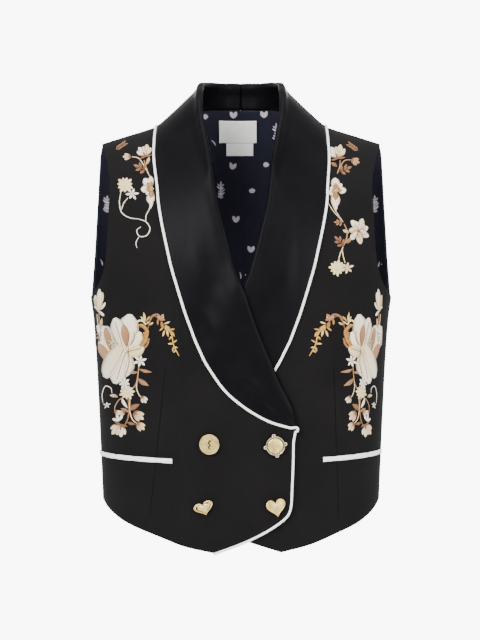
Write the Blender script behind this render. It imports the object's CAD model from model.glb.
"""Looks of the embroidered double-breasted waistcoat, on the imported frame, in metres."""
import math
from collections import namedtuple

import bpy
import numpy as np
from mathutils import Matrix, Vector
from mathutils.bvhtree import BVHTree


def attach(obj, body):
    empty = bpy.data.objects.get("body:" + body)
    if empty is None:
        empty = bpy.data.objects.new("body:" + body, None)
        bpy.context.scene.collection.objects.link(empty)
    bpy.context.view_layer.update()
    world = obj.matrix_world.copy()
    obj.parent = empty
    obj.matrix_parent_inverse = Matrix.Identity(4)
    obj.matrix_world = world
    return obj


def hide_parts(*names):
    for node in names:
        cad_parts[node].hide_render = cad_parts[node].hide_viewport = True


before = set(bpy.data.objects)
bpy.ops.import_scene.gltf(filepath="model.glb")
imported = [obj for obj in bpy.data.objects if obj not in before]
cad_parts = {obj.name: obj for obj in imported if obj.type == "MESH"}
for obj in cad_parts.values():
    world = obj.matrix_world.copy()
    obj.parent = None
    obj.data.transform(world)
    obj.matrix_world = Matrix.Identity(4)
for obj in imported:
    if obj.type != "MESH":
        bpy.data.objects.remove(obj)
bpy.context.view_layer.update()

# Camera, level and straight in front, and a pale studio
CAMERA_DISTANCE = 2.5
CAMERA_Z = -0.234
CAMERA_X = -0.0013
CAMERA_LENS = 110.0
SENSOR_HEIGHT = 36.0
FLOOR_Z = -0.95
FLOOR_REACH = 1.6
BACKDROP_Y = 4.0
BACKDROP_Z = -0.2
BACKDROP_REACH = 1.4
BACKDROP_RISE = 1.5
BACKDROP_GLOW = 7.5
Panel = namedtuple("Panel", "name where aim width height power")
LIGHTS = (
    Panel("key", (-1.3, -2.2, 1.0), (0, 0, -0.2), 1.4, 1.4, 125),
    Panel("fill", (1.6, -2.0, 0.3), (0, 0, -0.25), 1.4, 1.8, 80),
    Panel("top", (0.0, -0.3, 1.7), (0, 0, -0.1), 1.6, 1.2, 32),
)

CLOTH_WALL = 0.0016
COLLAR_WALL = 0.0015
LINING_WALL = 0.0010
LABEL_WALL = 0.0008
SEAM_GAP = 0.0003
CENTRE_FADE = 0.012
PIPING_CENTRE_GAP = 0.0002
PIPING_RADIUS = 0.0016
PIPING_GAP = -0.0003
PIPING_RAISE = 0.0004
CORD_UNEVEN = 0.03
FRONT_PIPING_TOP_Z = -0.372
Corner = namedtuple("Corner", "x z forward")
FRONT_CORNER = (Corner(0.0622, -0.3652, 0.0030), Corner(0.0655, -0.3648, 0.0030),
                Corner(0.0686, -0.3657, 0.0022), Corner(0.0688, -0.3690, 0.0008))
UNDERARM_Z = -0.205
FRONT_POWER = 2.4
BACK_POWER = 2.8
CHEST_FALL_IN = 2.2
CHEST_FALL_OUT = 1.6

# The figure's rings below the underarm, and its widths from there up to the shoulder
Ring = namedtuple("Ring", "z half_width front_depth back_depth")
RINGS = (
    Ring(-0.530, 0.1724, 0.1120, 0.1040),
    Ring(-0.460, 0.1744, 0.1140, 0.1040),
    Ring(-0.400, 0.1769, 0.1140, 0.1000),
    Ring(-0.340, 0.1796, 0.1165, 0.1000),
    Ring(-0.280, 0.1827, 0.1215, 0.1040),
    Ring(-0.230, 0.1864, 0.1260, 0.1090),
    Ring(UNDERARM_Z, 0.1897, 0.1270, 0.1120),
    Ring(-0.180, 0.1915, 0.1270, 0.1120),
)
Width = namedtuple("Width", "rise front back")
UPPER_WIDTHS = (
    Width(-0.10, 0.1875, 0.1875),
    Width(0.00, 0.1897, 0.1897),
    Width(0.12, 0.1920, 0.1925),
    Width(0.25, 0.1960, 0.1945),
    Width(0.50, 0.2000, 0.1960),
    Width(0.75, 0.2050, 0.1980),
    Width(1.00, 0.2100, 0.2020),
)
# The shoulders' crest, the neck, the armholes, the fronts' edge and the hem
Crest = namedtuple("Crest", "x y z")
SHOULDER_X = 0.1775
NECK_X = 0.0640
CRESTS = (
    Crest(0.0000, 0.0300, 0.0750),
    Crest(0.0200, 0.0270, 0.0720),
    Crest(0.0400, 0.0170, 0.0580),
    Crest(0.0550, 0.0120, 0.0420),
    Crest(NECK_X, 0.0100, 0.0310),
    Crest(0.0800, 0.0090, 0.0220),
    Crest(0.1130, 0.0070, 0.0098),
    Crest(0.1500, 0.0050, -0.0018),
    Crest(SHOULDER_X, 0.0040, -0.0105),
)
Neck = namedtuple("Neck", "x z")
BACK_NECK = (
    Neck(0.0000, 0.0400),
    Neck(0.0220, 0.0397),
    Neck(0.0420, 0.0380),
    Neck(0.0550, 0.0350),
    Neck(NECK_X, 0.0310),
)
Armhole = namedtuple("Armhole", "rise front back")
ARMHOLE = (
    Armhole(0.00, 0.1897, 0.1897),
    Armhole(0.01, 0.1875, 0.1899),
    Armhole(0.04, 0.1824, 0.1903),
    Armhole(0.09, 0.1758, 0.1904),
    Armhole(0.17, 0.1695, 0.1900),
    Armhole(0.28, 0.1662, 0.1890),
    Armhole(0.45, 0.1642, 0.1874),
    Armhole(0.68, 0.1630, 0.1848),
    Armhole(0.85, 0.1680, 0.1826),
    Armhole(0.95, 0.1740, 0.1805),
    Armhole(1.00, SHOULDER_X, SHOULDER_X),
)
Edge = namedtuple("Edge", "z out")
FRONT_EDGE = (
    Edge(-0.4700, -0.0585),
    Edge(-0.4375, -0.0600),
    Edge(-0.4060, -0.0612),
    Edge(-0.3840, -0.0616),
    Edge(-0.3655, -0.0642),
    Edge(-0.3000, -0.0386),
    Edge(-0.2377, -0.0143),
    Edge(-0.2000, -0.0015),
    Edge(-0.1830, 0.0064),
    Edge(-0.1255, 0.0223),
    Edge(-0.0743, 0.0347),
    Edge(-0.0450, 0.0410),
    Edge(-0.0180, 0.0500),
    Edge(0.0050, 0.0580),
    Edge(0.0200, 0.0625),
    Edge(0.0310, NECK_X),
)
UNDER_SHIFT = 0.004
UNDER_SHIFT_Z = (0.0, -0.100)
HEM_POINT_Z = -0.518
HEM_SIDE_Z = -0.459
HEM_SIDE_OUT = 0.1744
HEM_CORNER_Z = -0.468
HEM_CORNER_OUT = -0.0585
BACK_HEM_Z = -0.462
HEM_POINT_OUT = {"over": 0.0333, "under": 0.0487}
Hem = namedtuple("Hem", "way rise")
HEM_OUTWARD = (
    Hem(0.00, 0.00),
    Hem(0.27, 0.14),
    Hem(0.55, 0.37),
    Hem(0.76, 0.56),
    Hem(0.92, 0.80),
    Hem(1.00, 1.00),
)
HEM_INWARD = (
    Hem(0.00, 0.00),
    Hem(0.48, 0.35),
    Hem(0.90, 0.81),
    Hem(1.00, 1.00),
)
LIFT_LAPEL = 0.0062
LIFT_FRONT = 0.0056
LIFT_CHANGE_Z = (-0.300, -0.345)
LIFT_CLEAR = 0.006
LIFT_RUN = 0.034

# The collar's sections: seam, roll and outer edge, and how much of each lies on the cloth
Section = namedtuple("Section", "seam_x seam_z roll_x roll_y roll_z edge_x edge_z laid")
COLLAR_BACK = (
    Section(0.0000, 0.0400, 0.0000, 0.0620, 0.0730, 0.0000, -0.0100, 0.00),
    Section(0.0200, 0.0397, 0.0180, 0.0590, 0.0730, 0.0360, -0.0095, 0.00),
    Section(0.0400, 0.0382, 0.0335, 0.0490, 0.0726, 0.0675, -0.0070, 0.00),
    Section(0.0520, 0.0359, 0.0430, 0.0350, 0.0714, 0.0890, -0.0020, 0.00),
    Section(0.0590, 0.0335, 0.0480, 0.0210, 0.0696, 0.1002, 0.0045, 0.00),
)
COLLAR_FRONT = (
    Section(0.0347, -0.0743, 0.0316, -0.1080, -0.0735, 0.0993, -0.0920, 1.00),
    Section(0.0410, -0.0450, 0.0372, -0.0975, -0.0390, 0.1017, -0.0680, 0.70),
    Section(0.0500, -0.0180, 0.0435, -0.0800, -0.0100, 0.1050, -0.0460, 0.35),
    Section(0.0580, 0.0050, 0.0490, -0.0550, 0.0200, 0.1070, -0.0260, 0.10),
    Section(0.0625, 0.0200, 0.0515, -0.0270, 0.0500, 0.1070, -0.0060, 0.00),
    Section(NECK_X, 0.0310, 0.0505, 0.0070, 0.0670, 0.1064, 0.0095, 0.00),
)
LAPEL_TOP_Z = -0.0740
LAPEL_END_Z = -0.3660
LAPEL_EDGE = (
    Neck(0.0993, -0.0920),
    Neck(0.0960, -0.1116),
    Neck(0.0895, -0.1415),
    Neck(0.0828, -0.1705),
    Neck(0.0742, -0.1998),
    Neck(0.0650, -0.2290),
    Neck(0.0540, -0.2583),
    Neck(0.0402, -0.2868),
    Neck(0.0225, -0.3140),
    Neck(0.0080, -0.3290),
    Neck(-0.0105, -0.3430),
    Neck(-0.0330, -0.3560),
    Neck(-0.0500, -0.3605),
    Neck(-0.0635, -0.3650),
)
SEAM_REACH = 0.0013
ROLL_REACH = 0.0022
ROLL_HEIGHT = 0.0012
ROLL_RADIUS = 0.0008
NECK_ROLL_RADIUS = 0.0022
COLLAR_GAP = 0.0005
COLLAR_HOLLOW = 0.0024
NECK_SLOPE_STEP = 0.004
STAND_MIDDLE = 0.55
ROLL_CROWN = 0.6
CREST_CLEAR = 0.001
LAPEL_SOFTNESS = 0.0012
FALL_STEPS = (0.12, 0.33, 0.56, 0.79, 1.0)
LEFT_PIPING_END_Z = -0.300

Welt = namedtuple("Welt", "name side inner_out outer_out inner_z outer_z")
WELTS = (
    Welt("pocket_welt_right", -1, 0.0830, 0.1755, -0.4065, -0.4015),
    Welt("pocket_welt_left", 1, 0.0997, 0.1745, -0.4050, -0.3990),
)
WELT_HEIGHT = 0.0050
WELT_WALL = 0.0012
WELT_DOME = 0.0007
WELT_REACH = 0.09
WELT_UNEVEN = 0.00015
Label = namedtuple("Label", "name centre_x width top_z bottom_z")
LABELS = (
    Label("label_main", -0.0044, 0.0510, 0.0282, 0.0000),
    Label("label_size", -0.0016, 0.0360, -0.0004, -0.0164),
)
LABEL_CURL = 0.0005

# Fine grids
FRONT_COLUMNS = 96
BACK_COLUMNS = 60
RISE_ROWS = 56
DROP_ROWS = 84
BACK_ROWS = 60
COLLAR_ROWS = 150
COLLAR_COLUMNS = 48
COARSE_RISE = 16
COARSE_DROP = 13
COARSE_DROP_RANGE = (0.52, 0.02)
WELT_COLUMNS = 64
WELT_LEVELS = (-0.5, -0.46, -0.3, 0.0, 0.3, 0.46, 0.5)
LABEL_COLUMNS = 36
LABEL_ROWS = 20
CORD_POINTS = 140
CORNER_POINTS = 24
CORD_SKIP = 4
DENSE_STEPS = 220
EDGE_SOLVES = 40
LEVEL_SOLVES = 12
SLOPE_STEP = 0.0008
EDGE_STRIPS = (0.0004, 0.0012, 0.0024)
TURNED_EDGE = 0.22
# From where on each front follows its own grid's normals, as a part of the half width
SIDE_NORMALS = 0.90
SIDE_NORMALS_RUN = 0.06
UNDERARM_BAND = 0.004
UNDERARM_RUN = 0.022
# How near a face has to be for a point to rest on it, and how far below it may start
REST_REACH = 0.012
REST_BELOW = -0.006
REST_PASSES = 3

# Soft creases in the crepe: a line from (x, z) to (x2, z2), its half width and height
Crease = namedtuple("Crease", "face x z x2 z2 width height")
CREASES = (
    Crease(-1, -0.152, -0.215, -0.118, -0.345, 0.010, 0.0013),
    Crease(-1, -0.134, -0.225, -0.092, -0.375, 0.008, -0.0010),
    Crease(-1, 0.150, -0.220, 0.120, -0.350, 0.010, 0.0014),
    Crease(-1, 0.128, -0.235, 0.100, -0.370, 0.008, -0.0011),
    Crease(-1, -0.105, -0.400, -0.112, -0.500, 0.012, 0.0014),
    Crease(-1, 0.118, -0.400, 0.122, -0.490, 0.012, 0.0013),
    Crease(-1, -0.080, -0.300, -0.060, -0.420, 0.011, -0.0008),
    Crease(-1, 0.085, -0.330, 0.082, -0.440, 0.010, 0.0009),
    Crease(-1, -0.070, -0.395, 0.030, -0.392, 0.007, 0.0006),
    Crease(-1, -0.075, -0.455, 0.028, -0.470, 0.008, -0.0006),
    Crease(-1, -0.150, -0.040, -0.118, -0.110, 0.009, 0.0009),
    Crease(-1, 0.148, -0.040, 0.120, -0.105, 0.009, 0.0010),
    Crease(1, -0.070, -0.210, -0.095, -0.380, 0.014, 0.0018),
    Crease(1, 0.062, -0.200, 0.090, -0.390, 0.015, 0.0016),
    Crease(1, -0.020, -0.300, -0.030, -0.440, 0.013, -0.0012),
    Crease(1, 0.030, -0.320, 0.026, -0.440, 0.013, 0.0011),
    Crease(1, -0.120, -0.060, -0.080, -0.170, 0.013, 0.0014),
    Crease(1, 0.124, -0.070, 0.082, -0.165, 0.012, 0.0012),
    Crease(1, 0.130, -0.300, 0.142, -0.430, 0.012, -0.0012),
    Crease(1, -0.134, -0.290, -0.140, -0.430, 0.012, 0.0012),
)
CREASE_BOW = 0.12
CREASE_RUN = 0.45
CREASE_LEAST = 0.12
# Creases in the satin of the collar, in the same terms
COLLAR_CREASES = (
    Crease(-1, -0.004, -0.300, 0.026, -0.322, 0.0060, 0.0016),
    Crease(-1, -0.010, -0.318, 0.020, -0.345, 0.0050, -0.0011),
    Crease(-1, -0.030, -0.258, -0.006, -0.290, 0.0075, -0.0012),
    Crease(-1, 0.018, -0.332, 0.044, -0.352, 0.0045, 0.0009),
    Crease(-1, -0.060, -0.130, -0.050, -0.215, 0.0110, 0.0013),
    Crease(-1, -0.078, -0.090, -0.070, -0.170, 0.0080, -0.0008),
    Crease(-1, 0.062, -0.120, 0.048, -0.215, 0.0110, 0.0013),
    Crease(-1, 0.078, -0.100, 0.066, -0.190, 0.0080, -0.0007),
    Crease(-1, 0.034, -0.230, 0.010, -0.275, 0.0070, -0.0009),
    Crease(-1, -0.050, -0.215, -0.024, -0.262, 0.0080, 0.0010),
)
DEEPEST_FOLD = -0.0004
FOLD_FROM = 0.30
FOLD_RUN = 0.15
FOLD_EDGE_RUN = 0.12
FOLD_FRONT_RUN = 0.04


def table_curve(rows, given, wanted):
    """Cubic through a table's rows that never overshoots them."""
    xs = np.array([getattr(row, given) for row in rows])
    ys = np.array([getattr(row, wanted) for row in rows])
    steps = np.diff(xs)
    chords = np.diff(ys) / steps
    slopes = np.zeros(len(xs))
    slopes[0] = chords[0]
    slopes[-1] = chords[-1]
    for i in range(1, len(xs) - 1):
        if chords[i - 1] * chords[i] > 0:
            before = 2 * steps[i] + steps[i - 1]
            after = steps[i] + 2 * steps[i - 1]
            slopes[i] = (before + after) / (before / chords[i - 1] + after / chords[i])

    def at(x):
        x = np.clip(x, xs[0], xs[-1])
        i = np.clip(np.searchsorted(xs, x, side="right") - 1, 0, len(steps) - 1)
        t = (x - xs[i]) / steps[i]
        bend = steps[i] * (t * (1 - t) ** 2 * slopes[i] - t * t * (1 - t) * slopes[i + 1])
        return ys[i] + (ys[i + 1] - ys[i]) * t * t * (3 - 2 * t) + bend

    return at


ring_width = table_curve(RINGS, "z", "half_width")
ring_front = table_curve(RINGS, "z", "front_depth")
ring_back = table_curve(RINGS, "z", "back_depth")
upper_front = table_curve(UPPER_WIDTHS, "rise", "front")
upper_back = table_curve(UPPER_WIDTHS, "rise", "back")
crest_y = table_curve(CRESTS, "x", "y")
crest_z = table_curve(CRESTS, "x", "z")
back_neck_z = table_curve(BACK_NECK, "x", "z")
front_armhole = table_curve(ARMHOLE, "rise", "front")
back_armhole = table_curve(ARMHOLE, "rise", "back")
front_edge_out = table_curve(FRONT_EDGE, "z", "out")
hem_outward = table_curve(HEM_OUTWARD, "way", "rise")
hem_inward = table_curve(HEM_INWARD, "way", "rise")


def blend(a, b, t):
    return a + (b - a) * t


def smoothstep(t):
    t = np.clip(t, 0.0, 1.0)
    return t * t * (3 - 2 * t)


def unit(vectors):
    return vectors / np.linalg.norm(vectors, axis=-1, keepdims=True)


def power_for(face):
    return FRONT_POWER if face < 0 else BACK_POWER


def rise_at(x, z):
    return np.clip((z - UNDERARM_Z) / (crest_z(np.abs(x)) - UNDERARM_Z), 0.0, 1.0)


def upper_width(rise, face):
    return upper_front(rise) if face < 0 else upper_back(rise)


def cloth_y(x, z, face):
    """Depth of the figure's surface at x and z, on the front (-1) or the back (+1)."""
    power = power_for(face)
    depth = (ring_front if face < 0 else ring_back)(np.minimum(z, UNDERARM_Z))
    rise = rise_at(x, z)
    width = np.where(z <= UNDERARM_Z, ring_width(z), upper_width(rise, face))
    part = np.minimum(np.abs(x) / width, 1.0)
    y = face * depth * (1 - part ** power) ** (1 / power)
    fall = (1 - rise ** CHEST_FALL_IN) ** (1 / CHEST_FALL_OUT)
    middle = np.where(z > UNDERARM_Z, crest_y(np.abs(x)), 0.0)
    return blend(middle, y, fall)


def surface(x, z, face):
    x, z = np.broadcast_arrays(np.asarray(x, float), np.asarray(z, float))
    return np.stack((x, cloth_y(x, z, face), z), axis=-1)


def outward(x, z, face):
    """Unit normals of the figure's surface, away from the body."""
    x, z = np.broadcast_arrays(np.asarray(x, float), np.asarray(z, float))
    low = np.minimum(z, crest_z(np.abs(x)) - 2 * SLOPE_STEP)
    across = surface(x + SLOPE_STEP, low, face) - surface(x - SLOPE_STEP, low, face)
    up = surface(x, low + SLOPE_STEP, face) - surface(x, low - SLOPE_STEP, face)
    normal = unit(np.cross(across, up))
    return normal * np.sign(normal[..., 1:2] * face)


def angle_of(x, half_width, face):
    part = min(abs(x) / half_width, 1.0)
    return math.copysign(math.asin(part ** (power_for(face) / 2)), x)


def x_of(angle, half_width, face):
    return np.sign(angle) * half_width * np.abs(np.sin(angle)) ** (2 / power_for(face))


def under_shift(z):
    start, end = UNDER_SHIFT_Z
    return UNDER_SHIFT * smoothstep((z - start) / (end - start))


def edge_out(z, layer):
    out = front_edge_out(z)
    return out + under_shift(z) if layer == "under" else out


def hem_z(out, layer):
    point = HEM_POINT_OUT[layer]
    way_out = (out - point) / (HEM_SIDE_OUT - point)
    way_in = (point - out) / (point - HEM_CORNER_OUT)
    side = blend(HEM_POINT_Z, HEM_SIDE_Z, hem_outward(way_out))
    return np.where(out >= point, side, blend(HEM_POINT_Z, HEM_CORNER_Z, hem_inward(way_in)))


def lift(x, z):
    """How far the over front stands off the figure, where the under front is below it."""
    start, end = LIFT_CHANGE_Z
    full = blend(LIFT_LAPEL, LIFT_FRONT, smoothstep((z - start) / (end - start)))
    short_of = edge_out(z, "under") - LIFT_CLEAR - x
    return full * smoothstep(1 - short_of / LIFT_RUN)


def crease_height(creases, x, z, face):
    """Height of the soft troughs and ridges at a place on the cloth."""
    total = np.zeros(np.broadcast(x, z).shape)
    for crease in creases:
        if crease.face != face:
            continue
        along_x = crease.x2 - crease.x
        along_z = crease.z2 - crease.z
        length = along_x ** 2 + along_z ** 2
        t = ((x - crease.x) * along_x + (z - crease.z) * along_z) / length
        bow = CREASE_BOW * np.sin(math.pi * np.clip(t, 0, 1)) * crease.width
        off = ((x - crease.x) * along_z - (z - crease.z) * along_x) / math.sqrt(length) + bow
        beyond = np.maximum(np.maximum(-t, t - 1), 0) * math.sqrt(length)
        reach = smoothstep(t / CREASE_RUN) * smoothstep((1 - t) / CREASE_RUN) + CREASE_LEAST
        total += crease.height * reach * np.exp(-(off / crease.width) ** 2 - (beyond / crease.width) ** 2)
    return total


def drape(x, z, face):
    """Soft creases of the crepe."""
    return crease_height(CREASES, x, z, face)


def layer_of(side):
    return "over" if side < 0 else "under"


def on_front(x, z, side, height):
    """Points on a front, at a height above its inner face."""
    raised = height + drape(x, z, -1)
    if side < 0:
        raised = raised + lift(x, z)
    return surface(x, z, -1) + outward(x, z, -1) * np.asarray(raised)[..., None]


def grid_normals(grid, away):
    """Unit normals of a grid of points, turned to the side that away gives."""
    normals = unit(np.cross(np.gradient(grid, axis=1), np.gradient(grid, axis=0)))
    middle = normals[grid.shape[0] // 2, grid.shape[1] // 2]
    return normals if np.dot(middle, away) > 0 else -normals


def line_lengths(points):
    steps = np.linalg.norm(np.diff(points, axis=0), axis=1)
    return np.concatenate(([0], np.cumsum(steps)))


def strip_parts(parts, length):
    """Adds narrow strips at both ends of a row's parts, for turned edges."""
    strips = [strip / length for strip in EDGE_STRIPS]
    inner = [part for part in parts if strips[-1] * 1.5 < part < 1 - strips[-1] * 1.5]
    return np.array([0.0] + strips + inner + [1 - strip for strip in strips[::-1]] + [1.0])


def even_row(dense, parts):
    """Places at given parts of a line's length, from many (out, z, y) points on it."""
    lengths = line_lengths(dense)
    places = np.asarray(parts) * lengths[-1]
    return np.stack([np.interp(places, lengths, dense[:, k]) for k in (0, 1)], axis=-1)


def dense_row(start, end, face, place):
    angles = np.linspace(start, end, DENSE_STEPS + 1)
    out, z = place(angles)
    z = np.broadcast_to(z, out.shape)
    return np.stack((out, z, cloth_y(out, z, face)), axis=-1)


def front_row_above(rise, layer):
    inner = NECK_X
    for _ in range(EDGE_SOLVES):
        z = blend(UNDERARM_Z, crest_z(abs(inner)), rise)
        inner = blend(inner, edge_out(z, layer), 0.5)
    width = upper_width(rise, -1)

    def place(angle):
        out = x_of(angle, width, -1)
        return out, blend(UNDERARM_Z, crest_z(np.abs(out)), rise)

    end = angle_of(front_armhole(rise), width, -1)
    return dense_row(angle_of(inner, width, -1), end, -1, place)


def front_row_below(drop, layer):
    inner = 0.0
    for _ in range(EDGE_SOLVES):
        z = blend(UNDERARM_Z, hem_z(inner, layer), drop)
        inner = blend(inner, edge_out(z, layer), 0.5)

    def place(angle):
        level = UNDERARM_Z
        for _ in range(LEVEL_SOLVES):
            out = x_of(angle, ring_width(level), -1)
            level = blend(UNDERARM_Z, hem_z(out, layer), drop)
        return out, level

    return dense_row(angle_of(inner, ring_width(z), -1), math.pi / 2, -1, place)


def rise_steps(count):
    """Rows that lie closer at the underarm and at the shoulder."""
    return [(1 - math.cos(math.pi * i / count)) / 2 for i in range(count + 1)]


def drop_steps(count):
    """Rows from the hem up, with narrow ones at the turned edge."""
    strips = [strip / (UNDERARM_Z - HEM_POINT_Z) for strip in EDGE_STRIPS]
    return np.concatenate(([0.0], strips, np.linspace(2 * strips[-1], 1, count)[:-1]))


def front_columns(layer):
    """Parts of a line where the columns cross it; one column meets the hem's point."""
    hem = front_row_below(1.0, layer)
    lengths = line_lengths(hem)
    part = float(np.interp(HEM_POINT_OUT[layer], hem[:, 0], lengths)) / lengths[-1]
    inner = round(part * FRONT_COLUMNS)
    before = [part * i / inner for i in range(inner)]
    rest = FRONT_COLUMNS - inner
    parts = before + [blend(part, 1.0, i / rest) for i in range(rest + 1)]
    return strip_parts(parts, lengths[-1])


def panel_normals(grid):
    """A front's normals: the figure's own, and the grid's by the side seam."""
    own = outward(grid[..., 0], grid[..., 2], -1)
    part = np.abs(grid[..., 0]) / ring_width(grid[..., 2])
    seam = smoothstep((part - SIDE_NORMALS) / SIDE_NORMALS_RUN)[..., None]
    return unit(blend(own, grid_normals(grid, (0, -1, 0)), seam))


def front_grid(side):
    layer = layer_of(side)
    parts = front_columns(layer)
    lines = [front_row_below(1 - step, layer) for step in drop_steps(DROP_ROWS)]
    lines += [front_row_above(rise, layer) for rise in rise_steps(RISE_ROWS)]
    rows = np.array([even_row(line, parts) for line in lines])
    x = side * rows[..., 0]
    z = rows[..., 1]
    grid = surface(x, z, -1)
    near_side = grid[:-1, :, 1] > -SEAM_GAP / 2
    grid[:-1][near_side, 1] = -SEAM_GAP / 2
    grid[-1, :, 1] -= SEAM_GAP
    normals = panel_normals(grid)
    raised = drape(x, z, -1)
    if side < 0:
        raised = raised + lift(x, z)
    return grid + normals * raised[..., None]


def centre_fade(x):
    """Holds the creases down beside the centre back seam."""
    return smoothstep(np.abs(x) / CENTRE_FADE)


def back_row(level, rise):
    if rise is None:
        width = ring_width(level)
        return dense_row(0.0, math.pi / 2, 1, lambda angle: (x_of(angle, width, 1), level))
    width = upper_width(rise, 1)

    def place(angle):
        out = x_of(angle, width, 1)
        top = np.where(out < NECK_X, back_neck_z(out), crest_z(out))
        return out, blend(UNDERARM_Z, top, rise)

    return dense_row(0.0, angle_of(back_armhole(rise), width, 1), 1, place)


def back_grid(side):
    """Back panel from the hem to the neck and the shoulder seam."""
    lines = [back_row(blend(BACK_HEM_Z, UNDERARM_Z, step), None) for step in drop_steps(BACK_ROWS)]
    lines += [back_row(None, rise) for rise in rise_steps(RISE_ROWS)]
    parts = strip_parts([c / BACK_COLUMNS for c in range(BACK_COLUMNS + 1)], line_lengths(lines[0])[-1])
    rows = np.array([even_row(line, parts) for line in lines])
    x = side * rows[..., 0]
    z = rows[..., 1]
    grid = surface(x, z, 1)
    grid[:, 0, 0] = 0
    near_side = grid[:, :, 1] < SEAM_GAP / 2
    grid[near_side, 1] = SEAM_GAP / 2
    grid[-1, :, 1] += SEAM_GAP
    return grid + back_normals(grid) * (drape(x, z, 1) * centre_fade(x))[..., None]


def back_normals(grid):
    normals = grid_normals(grid, (0, 1, 0))
    normals[:, 0, 0] = 0
    return unit(normals)


def new_piece(name, vertices, faces, materials, indices=None):
    """A mesh object with its materials, on the part's one body."""
    mesh = bpy.data.meshes.new(name)
    mesh.from_pydata(np.asarray(vertices).tolist(), [], faces)
    for material in materials:
        mesh.materials.append(material)
    if indices is not None:
        mesh.polygons.foreach_set("material_index", indices)
    mesh.shade_smooth()
    piece = bpy.data.objects.new(name, mesh)
    bpy.context.scene.collection.objects.link(piece)
    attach(piece, "root")
    return piece


def grid_quads(rows, columns):
    """Quads between the neighbouring points of a grid."""
    starts = [r * columns + c for r in range(rows - 1) for c in range(columns - 1)]
    return [(low, low + 1, low + columns + 1, low + columns) for low in starts]


def faces_inward(grid, normals):
    """Whether a grid's quads face against its normals."""
    r = grid.shape[0] // 2
    c = grid.shape[1] // 2
    facing = np.cross(grid[r, c + 1] - grid[r, c], grid[r + 1, c] - grid[r, c])
    return np.dot(facing, normals[r, c]) < 0


def wall_faces(rows, columns, flip):
    """Quads of a closed wall: outer face, inner face, then its rim; and their counts."""
    count = rows * columns
    outer = grid_quads(rows, columns)
    inner = [(a + count, d + count, c + count, b + count) for a, b, c, d in outer]
    ring = list(range(columns))
    ring += [r * columns + columns - 1 for r in range(1, rows)]
    ring += [(rows - 1) * columns + c for c in range(columns - 2, -1, -1)]
    ring += [r * columns for r in range(rows - 2, 0, -1)]
    rim = [(ring[i - 1], ring[i - 1] + count, ring[i] + count, ring[i]) for i in range(len(ring))]
    faces = outer + inner + rim
    if flip:
        faces = [face[::-1] for face in faces]
    return faces, (len(outer), len(inner), len(rim))


def cloth_wall(name, grid, normals, wall, outer_material, inner_material):
    """A closed wall of cloth from its inner face, with its turned edges rounded."""
    rows, columns = grid.shape[:2]
    outer = grid + normals * wall
    inner = grid.copy()
    border = np.zeros((rows, columns), bool)
    border[[0, -1], :] = True
    border[:, [0, -1]] = True
    turned = normals[border] * wall * TURNED_EDGE
    outer[border] -= turned
    inner[border] += turned
    faces, (outers, inners, rims) = wall_faces(rows, columns, faces_inward(grid, normals))
    indices = [0] * outers + [1] * inners + [0] * rims
    vertices = np.concatenate((outer.reshape(-1, 3), inner.reshape(-1, 3)))
    return new_piece(name, vertices, faces, (outer_material, inner_material), indices)


def grid_area(grid):
    a = grid[:-1, :-1]
    across = grid[1:, 1:] - a
    other = grid[:-1, 1:] - grid[1:, :-1]
    return float(np.linalg.norm(np.cross(across, other), axis=-1).sum() / 2)


def declare_cloth(grid):
    """States the flat cut of a piece from its grid's two lengths and its area."""
    area = grid_area(grid)


class Tone:
    """A number or colour in a material's node tree, with Python's arithmetic."""

    def __init__(self, tree, socket):
        self.tree = tree
        self.socket = socket

    def math(self, kind, other=0.0, third=0.0):
        made = node(self.tree, "ShaderNodeMath", {"operation": kind}, {0: self, 1: other, 2: third})
        return made[0]

    def __add__(self, other):
        return self.math("ADD", other)

    def __radd__(self, other):
        return self.math("ADD", other)

    def __sub__(self, other):
        return self.math("SUBTRACT", other)

    def __rsub__(self, other):
        return (self * -1.0).math("ADD", other)

    def __mul__(self, other):
        return self.math("MULTIPLY", other)

    def __rmul__(self, other):
        return self.math("MULTIPLY", other)

    def __truediv__(self, other):
        return self.math("DIVIDE", other)

    def __abs__(self):
        return self.math("ABSOLUTE")

    def band(self, low, high):
        """0 below low and 1 above high, smooth between."""
        settings = {"interpolation_type": "SMOOTHSTEP", "clamp": True}
        made = node(self.tree, "ShaderNodeMapRange", settings, {0: self, 1: low, 2: high, 3: 0.0, 4: 1.0})
        return made[0]


def node(tree, kind, settings=None, inputs=None):
    """Adds a node, sets it, fills or links its sockets, and returns its outputs."""
    made = tree.nodes.new(kind)
    for key, value in (settings or {}).items():
        setattr(made, key, value)
    for key, value in (inputs or {}).items():
        if isinstance(value, Tone):
            tree.links.new(value.socket, made.inputs[key])
        else:
            made.inputs[key].default_value = value
    return [Tone(tree, socket) for socket in made.outputs]


def mix(tree, factor, a, b):
    """From a to b by a factor; each is a tone or the three parts of a colour."""
    a, b = (end if isinstance(end, Tone) else (*end, 1.0) for end in (a, b))
    return node(tree, "ShaderNodeMix", {"data_type": "RGBA"}, {0: factor, 6: a, 7: b})[2]


def new_material(name, colour, roughness, metallic=0.0, sheen=0.0, specular=0.5):
    """A Principled material; returns it with its tree and its shader."""
    material = bpy.data.materials.new(name)
    material.use_nodes = True
    tree = material.node_tree
    shader = tree.nodes["Principled BSDF"]
    shader.inputs["Base Color"].default_value = (*colour, 1.0)
    shader.inputs["Roughness"].default_value = roughness
    shader.inputs["Metallic"].default_value = metallic
    shader.inputs["Sheen Weight"].default_value = sheen
    shader.inputs["Specular IOR Level"].default_value = specular
    return material, tree, shader


def place(tree):
    """The place on the object, in metres."""
    return node(tree, "ShaderNodeTexCoord")[3]


def axes(tree, at):
    """The x, y and z of a place."""
    return node(tree, "ShaderNodeSeparateXYZ", None, {0: at})


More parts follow.
